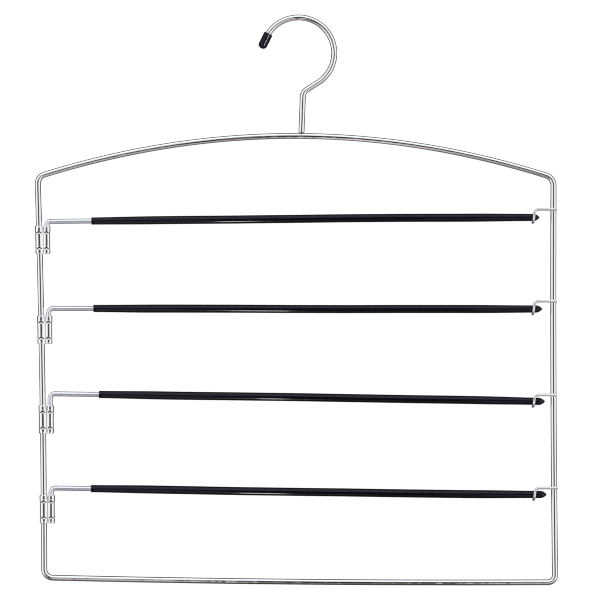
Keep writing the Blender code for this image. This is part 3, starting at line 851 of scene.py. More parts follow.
def length_map(tree):
    """The piece's own map: U along it and V round it, in metres."""
    return add(tree, "UVMap", uv_map="length_map")


def object_place(tree):
    """Place in the hanger, in metres."""
    node = tree.nodes.new("ShaderNodeTexCoord")
    return node.outputs["Object"]


def chrome_wire(name, colour, haze, shift):
    """Bright plated wire: draw lines along it, soft waves, a light haze in patches, tiny pits."""
    material, tree, shader = finish(name, colour, 1.0)
    map_place = moved(tree, length_map(tree), (shift, shift * 0.37, 0))
    place = object_place(tree)
    lines = noise(tree, map_place, (45, 5200, 1), 3.0)
    waves = noise(tree, map_place, (95, 60, 1), 1.0)
    patches = noise(tree, place, (38, 38, 38), 4.0)
    pits = noise(tree, place, (2600, 2600, 2600), 1.0)
    pit = ramp(tree, pits, 0.70, 0.78, 0.0, 1.0)
    rough = ramp(tree, patches, 0.42, 0.72, haze, haze + 0.06)
    rough = plus(tree, rough, pit, 0.12)
    rough = plus(tree, rough, lines, 0.03)
    dull = ramp(tree, patches, 0.5, 0.75, 0.0, 0.25)
    dull = maths(tree, "MAXIMUM", maths(tree, "MULTIPLY", pit, 0.5), dull)
    normal = dents(tree, waves, 0.16 * MM)
    normal = dents(tree, lines, 0.0005 * MM, normal)
    normal = dents(tree, pit, -0.0003 * MM, normal)
    dress(tree, shader, colour, scaled(colour, 0.86), dull, rough, normal)
    return material


def plated_sheet(name, colour, haze, shift):
    """Bright plated sheet: roll lines, shallow dents from pressing, and painted shade that darkens
    the crimps' creases.
    """
    material, tree, shader = finish(name, colour, 1.0)
    place = moved(tree, object_place(tree), (shift, 0, shift))
    pressed = tree.nodes.new("ShaderNodeAttribute")
    pressed.attribute_name = "pressed"
    # Mask of painted shade in the crimps' creases, kept on the mesh
    groove = pressed.outputs["Fac"]
    roll = noise(tree, place, (3800, 3800, 70), 2.0)
    press = noise(tree, place, (210, 210, 130), 1.0)
    patches = noise(tree, place, (260, 260, 180), 3.0)
    rough = plus(tree, ramp(tree, patches, 0.4, 0.75, haze, haze + 0.07), groove, 0.1)
    dull = ramp(tree, patches, 0.55, 0.75, 0.0, 0.08)
    # Darker in patches at random, and nearly black where the painted crease shade lies
    dull = maths(tree, "MAXIMUM", ramp(tree, groove, 0.04, 0.32, 0.0, 1.0), dull)
    normal = dents(tree, press, 0.1 * MM)
    normal = dents(tree, roll, 0.0018 * MM, normal)
    # The colour drops to a tenth where the painted crease shade is full
    dress(tree, shader, colour, scaled(colour, 0.1), dull, rough, normal)
    return material


def satin_wire(name, colour, edge, haze, shift):
    """Satin steel wire: fine brushed lines along it, a soft sheen and slow changes of tone."""
    material, tree, shader = finish(name, colour, 1.0, Specular_Tint=(*edge, 1))
    map_place = moved(tree, length_map(tree), (shift, 0, 0))
    brush = noise(tree, map_place, (90, 9000, 1), 4.0)
    tones = noise(tree, map_place, (70, 260, 1), 3.0)
    rough = plus(tree, ramp(tree, tones, 0.35, 0.7, haze, haze + 0.07), brush, 0.06)
    shade = maths(tree, "MULTIPLY", ramp(tree, brush, 0.3, 0.75, 0.0, 1.0), 0.25)
    shade = maths(tree, "ADD", shade, ramp(tree, tones, 0.45, 0.75, 0.0, 0.3))
    dress(tree, shader, colour, scaled(colour, 0.82), shade, rough, dents(tree, brush, 0.0006 * MM))
    return material


def black_vinyl(name, colour, gloss, haze, shine, relief, shift):
    """Soft black vinyl: fine orange peel, long soft ripples, rubbed streaks and specks of dust."""
    material, tree, shader = finish(
        name, colour, 0.0, IOR=1.5, Specular_IOR_Level=shine, Specular_Tint=(*gloss, 1)
    )
    map_place = moved(tree, length_map(tree), (shift, 0, 0))
    place = moved(tree, object_place(tree), (0, shift, 0))
    peel = noise(tree, place, (1500, 1500, 1500), 2.0)
    ripples = noise(tree, map_place, (14, 90, 1), 2.0)
    rubs = noise(tree, map_place, (22, 900, 1), 3.0)
    dust = noise(tree, place, (3300, 3300, 3300), 1.0)
    speck = ramp(tree, dust, 0.74, 0.79, 0.0, 1.0)
    rub = ramp(tree, rubs, 0.52, 0.78, 0.0, 1.0)
    rough = plus(tree, ramp(tree, ripples, 0.3, 0.75, haze, haze + 0.02), rub, 0.015)
    grey = maths(tree, "MULTIPLY", rub, 0.35)
    grey = maths(tree, "MAXIMUM", grey, maths(tree, "MULTIPLY", speck, 0.6))
    worn = tuple(channel + 0.012 for channel in colour)
    normal = dents(tree, ripples, 0.1 * MM * relief)
    normal = dents(tree, peel, 0.0012 * MM * relief, normal)
    dress(tree, shader, colour, worn, grey, rough, normal)
    return material


# Pieces


class HANGER_OT_bend_frame(bpy.types.Operator):
    """Bends the frame: one wire through an arch, two side rails and a foot rail, welded closed"""

    bl_idname = "trouser_hanger.bend_frame"
    bl_label = "Bend the Frame"

    def execute(self, context):
        hanger = context.scene.trouser_hanger
        path = self.centre_line(hanger.frame)
        rows = tube(path, hanger.frame.wire / 2, hanger.sides, BACK, closed=True)
        looks = hanger.finishes
        material = chrome_wire("frame_chrome", looks.chrome, looks.chrome_haze, FRAME_SHIFT)
        piece = put("bent_frame", surface(rows, round_along=True), material, "hanger", "frame_wire")
        return {"FINISHED"}

    def centre_line(self, sizes):
        """Four bowed sides, each followed by the bend into the next one."""
        corners = frame_corners(sizes)
        bows = (
            UP * sizes.arch_rise,
            RIGHT * -sizes.right_bow,
            UP * -sizes.foot_bow,
            RIGHT * sizes.left_bow,
        )
        radii = (
            sizes.right_shoulder_bend,
            sizes.right_foot_bend,
            sizes.left_foot_bend,
            sizes.left_shoulder_bend,
        )
        sides = [(corners[n], corners[(n + 1) % 4], bows[n]) for n in range(4)]
        parts = []
        for number, side in enumerate(sides):
            before = sides[number - 1]
            after = sides[(number + 1) % 4]
            run_in = bowed_run(*before, 1)
            run_start = bowed_run(*side, 0)
            run_end = bowed_run(*side, 1)
            run_after = bowed_run(*after, 0)
            lead = radii[number - 1] * math.tan(angle_between(run_in, run_start) / 2)
            trim = radii[number] * math.tan(angle_between(run_end, run_after) / 2)
            first = lead / np.linalg.norm(run_start)
            last = 1 - trim / np.linalg.norm(run_end)
            steps = ARCH_STEPS if number == 0 else RAIL_STEPS
            parts.append(bowed(*side, np.linspace(first, last, steps + 1)[1:-1]))
            share = trim / np.linalg.norm(run_after)
            start, end = bowed(*side, last)[0], bowed(*after, share)[0]
            leaving, meeting = bowed_run(*side, last), bowed_run(*after, share)
            parts.append(bend(start, leaving, end, meeting, radii[number], CORNER_STEPS))
        return np.concatenate(parts)


class HANGER_OT_bend_hook(bpy.types.Operator):
    """Bends the hook: stem, neck, open ring and straight tip, with its foot saddled on the arch"""

    bl_idname = "trouser_hanger.bend_hook"
    bl_label = "Bend the Hook"

    def execute(self, context):
        hanger = context.scene.trouser_hanger
        sizes = hanger.hook
        angles = np.linspace(sizes.ring_start, sizes.ring_end, RING_POINTS)
        bow = hook_ring(sizes, angles)
        neck_run = np.array((-math.sin(sizes.ring_start), 0, math.cos(sizes.ring_start)))
        neck = bow[0] - neck_run * sizes.neck_length
        foot_x = neck[0] - sizes.stem_lean
        crest = hanger.frame.wire / 2 + sizes.joint_gap
        foot = np.array((foot_x, 0, arch_z(hanger, foot_x) + crest))
        stem = bent_path(np.array((foot, neck, bow[0])), (sizes.neck_bend,), NECK_STEPS)
        corner, mouth, run = hook_tip(sizes)
        tip = mouth + run * (sizes.cap_length - sizes.cap_end_wall - sizes.cap_gap)
        tail = bent_path(np.array((bow[-1], corner, tip)), (sizes.tip_bend,), TIP_STEPS)
        path = without_repeats(np.concatenate((stem, bow[1:-1], tail)))
        chamfer = hanger.arm.chamfer
        rows = tube(path, sizes.wire / 2, hanger.sides, BACK, chamfer=chamfer, round_start=False)
        rows = np.concatenate((self.saddle(hanger, rows[0], rows[1], crest), rows[1:]))
        looks = hanger.finishes
        material = chrome_wire("hook_chrome", looks.chrome, looks.chrome_haze, HOOK_SHIFT)
        self.heat_tint(material, looks.heat)
        piece = put("hook_bow", surface(rows), material, "hanger", "hook_wire")
        return {"FINISHED"}

    def heat_tint(self, material, heat):
        """Browns the foot of the stem beside the weld, by the length along the wire."""
        tree = material.node_tree
        socket = tree.nodes["Principled BSDF"].inputs["Base Color"]
        clean = socket.links[0].from_socket
        along = add(tree, "SeparateXYZ", {0: length_map(tree)})
        near = ramp(tree, along, HEAT_START, HEAT_END, 1, 0)
        tree.links.new(colour_blend(tree, near, clean, heat), socket)

    def saddle(self, hanger, foot, above, crest):
        """Rows of the stem's end: sqrt(crest^2 - y^2) over the arch, rounded at the rim.

        Inside the rim the weld nugget goes on down into the arch and closes on its axis.
        """
        middle = foot.mean(0)
        spokes = foot - middle

        def on_arch(points, radius):
            """Points set on a round of a radius about the arch: its height plus sqrt(r^2 - y^2)."""
            lowered = points.copy()
            lowered[:, 2] = arch_z(hanger, points[:, 0]) + np.sqrt(radius**2 - points[:, 1] ** 2)
            return lowered

        rim = STEM_RIM / (hanger.hook.wire / 2)
        inner = hanger.hook.nugget / hanger.hook.wire
        wire_r = hanger.frame.wire / 2
        sunk = on_arch(middle + spokes * inner, wire_r - NUGGET_SINK)
        end_face = on_arch(middle + spokes * (1 - rim), crest)
        waist = on_arch(middle + spokes * inner, crest)
        angle = np.linspace(0, math.pi / 2, SADDLE_RIM_POINTS)[:, None, None]
        full = on_arch(foot, crest) + UP * (rim * hanger.hook.wire / 2)
        shoulder = end_face + (full - end_face) * np.sin(angle) * np.array((1, 1, 0))
        shoulder = shoulder + UP * (1 - np.cos(angle)) * (full - end_face)[:, 2:]
        climb = np.linspace(0, 1, SADDLE_CLIMB_POINTS)[1:-1, None, None] ** SADDLE_POWER
        lift = full + (above - full) * climb
        closed = np.repeat(sunk.mean(0)[None], len(foot), 0)
        return np.concatenate((closed[None], sunk[None], waist[None], shoulder, lift))


class HANGER_OT_turn_cap(bpy.types.Operator):
    """Turns the soft cap on the hook's tip: a blind tube with a domed end and a rounded mouth"""

    bl_idname = "trouser_hanger.turn_cap"
    bl_label = "Turn the Cap"

    def execute(self, context):
        hanger = context.scene.trouser_hanger
        sizes = hanger.hook
        outer = sizes.cap / 2
        bore = sizes.wire / 2 + sizes.cap_gap
        depth = sizes.cap_length - sizes.cap_end_wall
        bore_r, bore_z = blind_bore(bore, outer, depth, sizes.cap_lip)
        shoulder = sizes.cap_length - sizes.cap_dome
        side = np.linspace(sizes.cap_lip, shoulder, CAP_SIDE_POINTS)[1:-1]
        dome = np.linspace(math.pi / 2, 0, CAP_DOME_POINTS)
        radii = np.concatenate((bore_r, np.full_like(side, outer), outer * np.sin(dome)))
        heights = np.concatenate((bore_z, side, shoulder + sizes.cap_dome * np.cos(dome)))
        _, mouth, run = hook_tip(sizes)
        rows = turned((radii, heights), mouth, run, hanger.sides)
        looks = hanger.finishes
        material = black_vinyl(
            "cap_vinyl", looks.vinyl, looks.vinyl_gloss, looks.cap_haze,
            looks.cap_shine, looks.cap_relief, CAP_SHIFT,
        )
        piece = put("tip_cap", surface(rows), material, "hanger", "hook_tip_cap")
        return {"FINISHED"}


class HANGER_OT_roll_clips(bpy.types.Operator):
    """Rolls the four clips: one sheet round the side rail, over a dip and round the arm's leg"""

    bl_idname = "trouser_hanger.roll_clips"
    bl_label = "Roll the Clips"

    def execute(self, context):
        hanger = context.scene.trouser_hanger
        looks = hanger.finishes
        for tier in range(TIERS):
            # Each clip keeps the mask of its painted crease shade as a mesh attribute
            shape, pressed = self.shell(hanger, tier)
            number = tier + 1
            material = plated_sheet(
                f"clip_plating_{number}", looks.sheet, looks.sheet_haze, CLIP_SHIFT * tier
            )
            piece = put(
                f"rolled_clip_{number}", shape, material, "hanger", f"pivot_clip_{number}", pressed
            )
        return {"FINISHED"}

    def levels(self, clip):
        """Heights of the rows, close together at the rounded ends, the curls and the crimps."""
        rim = SHEET_RIM * (1 - np.cos(np.linspace(0, math.pi / 2, RIM_POINTS)))
        curl = np.linspace(SHEET_RIM, clip.curl_length, CURL_POINTS)[1:]
        crimp = np.linspace(-clip.crimp_slope - clip.crimp_sag, clip.crimp_brow, CRIMP_POINTS)
        low = clip.crimp_from_end + crimp
        high = clip.height - clip.crimp_from_end + crimp
        end = np.concatenate((rim, curl))
        lobe = np.linspace(end[-1], low[0], LOBE_POINTS)[1:-1]
        body = np.linspace(low[-1], high[0], BODY_POINTS)[1:-1]
        top = np.linspace(high[-1], clip.height - end[-1], LOBE_POINTS)[1:-1]
        return np.concatenate((end, lobe, low, body, high, top, clip.height - end[::-1]))

    def web_angles(self, clip, rail_bore, leg_bore, pitch):
        """Angles off the line between the barrels, at which the dip leaves one for the other.

        The dip is bent the other way round a point in front, which makes a triangle with the
        middles of the barrels, so both angles follow from the law of cosines.
        """
        reach = clip.sheet / 2 + clip.web_bend
        rail_side = rail_bore + reach
        leg_side = leg_bore + reach
        rail = np.arccos((rail_side**2 + pitch**2 - leg_side**2) / (2 * rail_side * pitch))
        leg = np.arccos((leg_side**2 + pitch**2 - rail_side**2) / (2 * leg_side * pitch))
        return rail[:, None], leg[:, None]

    def barrel(self, clip, level, centre, bore, pressed_bore, facing, web_angle, angle):
        """Middle of the sheet, half its thickness, outward direction, crimps and painted crease
        shade.

        The curl of the ends is a quarter ellipse. A crimp is a dent at the front or back: cos^2
        of its distance, in shares of its half sizes, from a line that sags beside its middle by
        a smooth step. The ends swell by sin^2 between rim and crimp, the front is flattened by
        cos^2 of the turn, and every change fades out where the barrel runs into the dip.
        """
        off = angle - facing
        level = level[:, None]
        from_end = np.minimum(level, clip.height - level)
        curl = 1 - np.sqrt(1 - np.clip(1 - from_end / clip.curl_length, 0, 1) ** 2)
        web_share = np.sin(web_angle / 2)
        free = np.clip((np.abs(np.sin(off / 2)) - web_share) / (1 - web_share), 0, 1)
        round_front = np.arccos(np.clip(np.abs(np.sin(off)), 0, 1))
        across = round_front / clip.crimp_half_turn
        step = np.clip(round_front / clip.sag_turn, 0, 1)
        raised = level + clip.crimp_sag * step * step * (3 - 2 * step)
        over_low = raised - clip.crimp_from_end
        over_high = raised - (clip.height - clip.crimp_from_end)
        over = np.where(np.abs(over_low) < np.abs(over_high), over_low, over_high)
        along = np.maximum(over / clip.crimp_brow, -over / clip.crimp_slope)
        crimp = np.cos(math.pi / 2 * np.clip(np.hypot(across, along), 0, 1)) ** 2
        groove = np.cos(math.pi / 2 * np.clip(along, 0, 1)) ** 2
        lobe = np.sin(math.pi * np.clip(from_end / clip.crimp_from_end, 0, 1)) ** 2
        body = np.clip((from_end - clip.crimp_from_end) / clip.crimp_slope, 0, 1)
        flat = np.cos(math.pi / 2 * np.clip(round_front / clip.flat_half_turn, 0, 1)) ** 2
        shift = clip.swell * lobe - clip.squeeze * body - clip.groove * groove
        fade = np.clip(free / PRESS_FADE_SHARE, 0, 1)
        shift = (shift - clip.flattening * flat * (1 - crimp)) * fade
        tight = pressed_bore - bore
        inner = bore + np.maximum(shift - clip.curl_depth * curl * free, tight)
        inner = np.minimum(inner, bore + tight * crimp + np.maximum(shift, 0))
        press = clip.crimp_depth * crimp * fade
        outer = bore + clip.sheet + shift - clip.curl_depth * curl * free - press
        outer = np.maximum(outer, inner + LEAST_SHEET)
        outward = np.stack((np.cos(angle), np.sin(angle), np.zeros_like(angle)), -1)
        middle = centre + outward * ((inner + outer) / 2)[..., None]
        # Mask of painted shade: the crimp's dent from its brow down to a quarter of its slope,
        # darkened in the colour
        crease_shade_mask = crimp * (over > -CREASE_SHADE_SHARE * clip.crimp_slope)
        return middle, (outer - inner) / 2, outward, crease_shade_mask

    def dip(self, clip, rail, rail_bore, rail_web, leg_web):
        """The sheet between the barrels: an arc bent the other way round a point in front."""
        away = np.stack((np.cos(rail_web), -np.sin(rail_web), np.zeros_like(rail_web)), -1)
        centre = rail + away * (rail_bore + clip.sheet / 2 + clip.web_bend)
        first = math.pi - rail_web
        angle = first + (leg_web - first) * np.linspace(0, 1, DIP_POINTS)[1:-1]
        spoke = np.stack((np.cos(angle), np.sin(angle), np.zeros_like(angle)), -1)
        half = np.full(angle.shape, clip.sheet / 2)
        return centre + spoke * clip.web_bend, half, -spoke, np.zeros(angle.shape)

    def shell(self, hanger, tier):
        """The sheet's middle line, plus and minus half its thickness, with round free edges."""
        clip = hanger.clip
        rail_bore, leg_bore = barrel_radii(hanger)
        level = self.levels(clip)
        z = clip_z(hanger, tier) + level - clip.height / 2
        upright = z[:, None, None] * UP
        leg = leg_x(hanger, tier) * RIGHT + upright
        rail = left_rail_x(hanger, z)[:, None, None] * RIGHT + upright
        pitch = leg_x(hanger, tier) - left_rail_x(hanger, z)
        rail_web, leg_web = self.web_angles(clip, rail_bore, leg_bore, pitch)
        t = np.linspace(0, 1, BARREL_POINTS)
        rail_angle = clip.rail_seam + (math.tau - rail_web - clip.rail_seam) * t
        leg_angle = math.pi + leg_web + (math.tau - clip.leg_seam - leg_web) * t
        rail_pressed = hanger.frame.wire / 2 + clip.crimp_gap
        leg_pressed = hanger.arm.wire / 2 + clip.crimp_gap
        parts = (
            self.barrel(clip, level, rail, rail_bore, rail_pressed, 0, rail_web, rail_angle),
            self.dip(clip, rail, rail_bore, rail_web, leg_web),
            self.barrel(clip, level, leg, leg_bore, leg_pressed, math.pi, leg_web, leg_angle),
        )
        middle, half, normal, pressed = (np.concatenate(values, axis=1) for values in zip(*parts))
        from_end = np.minimum(level, clip.height - level)
        rim = np.clip(1 - from_end / SHEET_RIM, 0, 1)
        half = half * (SHEET_RIM_SHARE + (1 - SHEET_RIM_SHARE) * np.sqrt(1 - rim**2))[:, None]
        one_side = middle + normal * half[..., None]
        other_side = (middle - normal * half[..., None])[:, ::-1]
        edges = []
        angle = np.linspace(math.pi / 2, -math.pi / 2, EDGE_POINTS + 2)[None, 1:-1, None]
        for column, sign in ((-1, 1), (0, -1)):
            out = sign * np.cross(UP, normal[:, column])[:, None] * np.cos(angle)
            over = sign * normal[:, column][:, None] * np.sin(angle)
            edges.append(middle[:, column][:, None] + half[:, column][:, None, None] * (out + over))
        rows = np.concatenate((one_side, edges[0], other_side, edges[1]), axis=1)
        # The painted crease shade lies on both faces of the sheet and not on its free edges
        blank = np.zeros((len(level), EDGE_POINTS))
        values = np.concatenate((pressed, blank, pressed[:, ::-1], blank), axis=1)
        return self.closed(rows, middle.shape[1]), values

    def closed(self, rows, count):
        """The grid with both ends closed by a ladder of quads across the sheet."""
        points, quads, corners = surface(rows)
        width = rows.shape[1]
        edge = width // 2 - count
        left = np.arange(-(edge // 2), count + edge // 2 - 1)
        right = 2 * (count - 1) + edge + 1 - left
        ladder = np.stack((left, right, right - 1, left + 1), -1) % width
        top = ladder[:, ::-1] + (len(rows) - 1) * width
        caps = np.concatenate((ladder, top))
        flat = points[caps.ravel()][:, :2]
        return points, np.concatenate((quads, caps)), np.concatenate((corners, flat))


class HANGER_OT_bend_arms(bpy.types.Operator):
    """Bends the four arm wires: an upright leg in the clip, an elbow and a nearly level arm"""

    bl_idname = "trouser_hanger.bend_arms"
    bl_label = "Bend the Arm Wires"

    def execute(self, context):
        hanger = context.scene.trouser_hanger
        arm = hanger.arm
        looks = hanger.finishes
        for tier in range(TIERS):
            elbow = np.array((leg_x(hanger, tier), 0, arm_z(hanger, tier)))
            leg = arm.rise + hanger.clip.height / 2 - arm.end_room
            reach = arm_reach(hanger, tier)
            run = arm_run(hanger, tier) * (reach - arm.end_wall - arm.gap)
            corners = np.array((elbow - UP * leg, elbow, elbow + run))
            path = bent_path(corners, (arm.elbow,), ELBOW_STEPS)
            along = path[-2] + (path[-1] - path[-2]) * np.linspace(0, 1, ARM_POINTS)[:, None]
            path = np.concatenate((path[:-2], along))
            share = (path[:, 0] - elbow[0]) / reach
            path = path + UP * arm_bow(hanger, tier, share)[:, None]
            rows = tube(path, arm.wire / 2, hanger.sides, BACK, chamfer=arm.chamfer)
            number = tier + 1
            material = satin_wire(
                f"arm_satin_{number}", looks.satin, looks.satin_edge, looks.satin_haze,
                ARM_SHIFT * tier,
            )
            shape = surface(rows)
            piece = put(
                f"swing_arm_{number}", shape, material, f"arm_{number}", f"arm_wire_{number}"
            )
        return {"FINISHED"}


class HANGER_OT_draw_sleeves(bpy.types.Operator):
    """Draws the soft sleeves over the arms: a swelling tube with a round mouth and pointed tip"""

    bl_idname = "trouser_hanger.draw_sleeves"
    bl_label = "Draw the Sleeves"

    def execute(self, context):
        hanger = context.scene.trouser_hanger
        arm = hanger.arm
        looks = hanger.finishes
        for tier in range(TIERS):
            run = arm_run(hanger, tier)
            bare = arm.bare * arm.bare_shares[tier]
            mouth = np.array((leg_x(hanger, tier), 0, arm_z(hanger, tier))) + run * bare
            reach = arm_reach(hanger, tier)
            outline, wander = self.outline(arm, reach - bare, tier)
            wander[:, 1] += arm_bow(hanger, tier, (bare + outline[1]) / reach)
            rows = turned(outline, mouth, run, hanger.sides, wander)
            number = tier + 1
            material = black_vinyl(
                f"sleeve_vinyl_{number}", looks.vinyl, looks.vinyl_gloss, looks.vinyl_haze,
                looks.vinyl_shine, 1.0, SLEEVE_SHIFT * number,
            )
            shape = surface(rows)
            piece = put(
                f"soft_sleeve_{number}", shape, material, f"arm_{number}", f"arm_sleeve_{number}"
            )
        return {"FINISHED"}

    def outline(self, arm, length, tier):
        """Radii and heights from the blind bore over the mouth to the tip, and the tube's wander.

        The tip is a quarter of |r|^n + |z|^n = 1, between a cone and an ellipse. The wander is a
        slow sine and a fine one, each way, which fade out at both ends.
        """
        end_r = arm.sleeve_end / 2
        bore = arm.wire / 2 + arm.gap
        bore_r, bore_z = blind_bore(bore, end_r, length - arm.end_wall, arm.lip)
        side = np.linspace(arm.lip, length - arm.tip, SLEEVE_POINTS)[1:-1]
        from_end = np.minimum(side - arm.lip, length - arm.tip - side)
        swell = np.clip(from_end / (arm.swell - arm.tip), 0, 1)
        side_r = end_r + (arm.sleeve - arm.sleeve_end) / 2 * swell * swell * (3 - 2 * swell)
        tip = np.linspace(math.pi / 2, 0, SLEEVE_TIP_POINTS)
        tip_r = end_r * np.sin(tip) ** (2 / arm.tip_power)
        tip_z = length - arm.tip + arm.tip * np.abs(np.cos(tip)) ** (2 / arm.tip_power)
        radii = np.concatenate((bore_r, side_r, tip_r))
        heights = np.concatenate((bore_z, side, tip_z))
        share = np.clip(heights / length, 0, 1)
        fade = np.clip(np.minimum(heights, length - heights) / arm.swell, 0, 1)
        phase = WANDER_PHASE * tier

        def waves(slow, slow_phase, fine, fine_phase):
            """Slow sine of the share of the length, plus a share of a fine one."""
            fine_wave = FINE_WANDER * np.sin(share * fine + fine_phase * phase)
            return np.sin(share * slow + slow_phase * phase) + fine_wave

        wander = np.stack((waves(*WANDER_ACROSS), waves(*WANDER_OVER)), -1)
        return (radii, heights), wander * (arm.wander * fade * (radii > bore))[:, None]


class HANGER_OT_bend_catches(bpy.types.Operator):
    """Bends the four catches: across the rail, down in front of the sleeve and back under it"""

    bl_idname = "trouser_hanger.bend_catches"
    bl_label = "Bend the Catches"

    def execute(self, context):
        hanger = context.scene.trouser_hanger
        looks = hanger.finishes
        for tier in range(TIERS):
            shape = self.shape(hanger, tier)
            number = tier + 1
            material = chrome_wire(
                f"catch_chrome_{number}", looks.chrome, looks.catch_haze, CATCH_SHIFT * number
            )
            piece = put(f"wire_catch_{number}", shape, material, "hanger", f"catch_{number}")
        return {"FINISHED"}

    def sleeve_radius(self, arm, from_tip):
        """Outer radius of a sleeve at a distance from its tip."""
        share = np.clip((from_tip - arm.tip) / (arm.swell - arm.tip), 0, 1)
        return (arm.sleeve_end + (arm.sleeve - arm.sleeve_end) * share) / 2

    def shape(self, hanger, tier):
        """The bent wire, joined to the weld that holds it on the rail."""
        sizes = hanger.catch
        arm = hanger.arm
        level = catch_z(hanger, tier)
        rail = np.array((right_rail_x(hanger, level), 0, level))
        wire_r = sizes.wire / 2
        rail_r = hanger.frame.wire / 2
        weld_y = -(rail_r + sizes.weld_gap + wire_r)
        drop = sizes.drop * sizes.drop_shares[tier]
        from_tip = sizes.reach + sizes.lean + sizes.lip_sweep - tip_room(hanger, tier)
        seat = self.sleeve_radius(arm, from_tip) + sizes.seat_gap + wire_r
        lip_x = -sizes.reach - sizes.lean
        corners = rail + np.array((
            (rail_r + sizes.overhang, weld_y, 0),
            (-sizes.reach, -seat, 0),
            (lip_x, -seat, -drop - seat),
            (lip_x - sizes.lip_sweep, sizes.lip_reach, -drop - seat),
        ))
        path = bent_path(corners, (sizes.bend, seat), CATCH_STEPS)
        rows = tube(path, wire_r, CATCH_SIDES, ASLANT, chamfer=arm.chamfer)
        return joined(surface(rows), surface(self.weld(sizes, rail, rail_r, weld_y)))

    def weld(self, sizes, rail, rail_r, weld_y):
        """Flattened bead between the catch and the rail: a ball drawn out across the rail."""
        lean = np.linspace(-math.pi / 2, math.pi / 2, WELD_POINTS)
        turn_round = np.linspace(0, math.tau, WELD_SIDES, endpoint=False)
        out = np.cos(lean)[:, None]
        x = sizes.weld / 2 * out * np.cos(turn_round)
        z = sizes.weld / 2 * WELD_HEIGHT_SHARE * out * np.sin(turn_round)
        y = WELD_HALF_DEPTH * np.sin(lean)[:, None] * np.ones_like(x)
        middle = rail + BACK * (weld_y / 2 - rail_r / 2 - WELD_SINK)
        return middle + np.stack((x, y, z), -1)[::-1]


# Studio


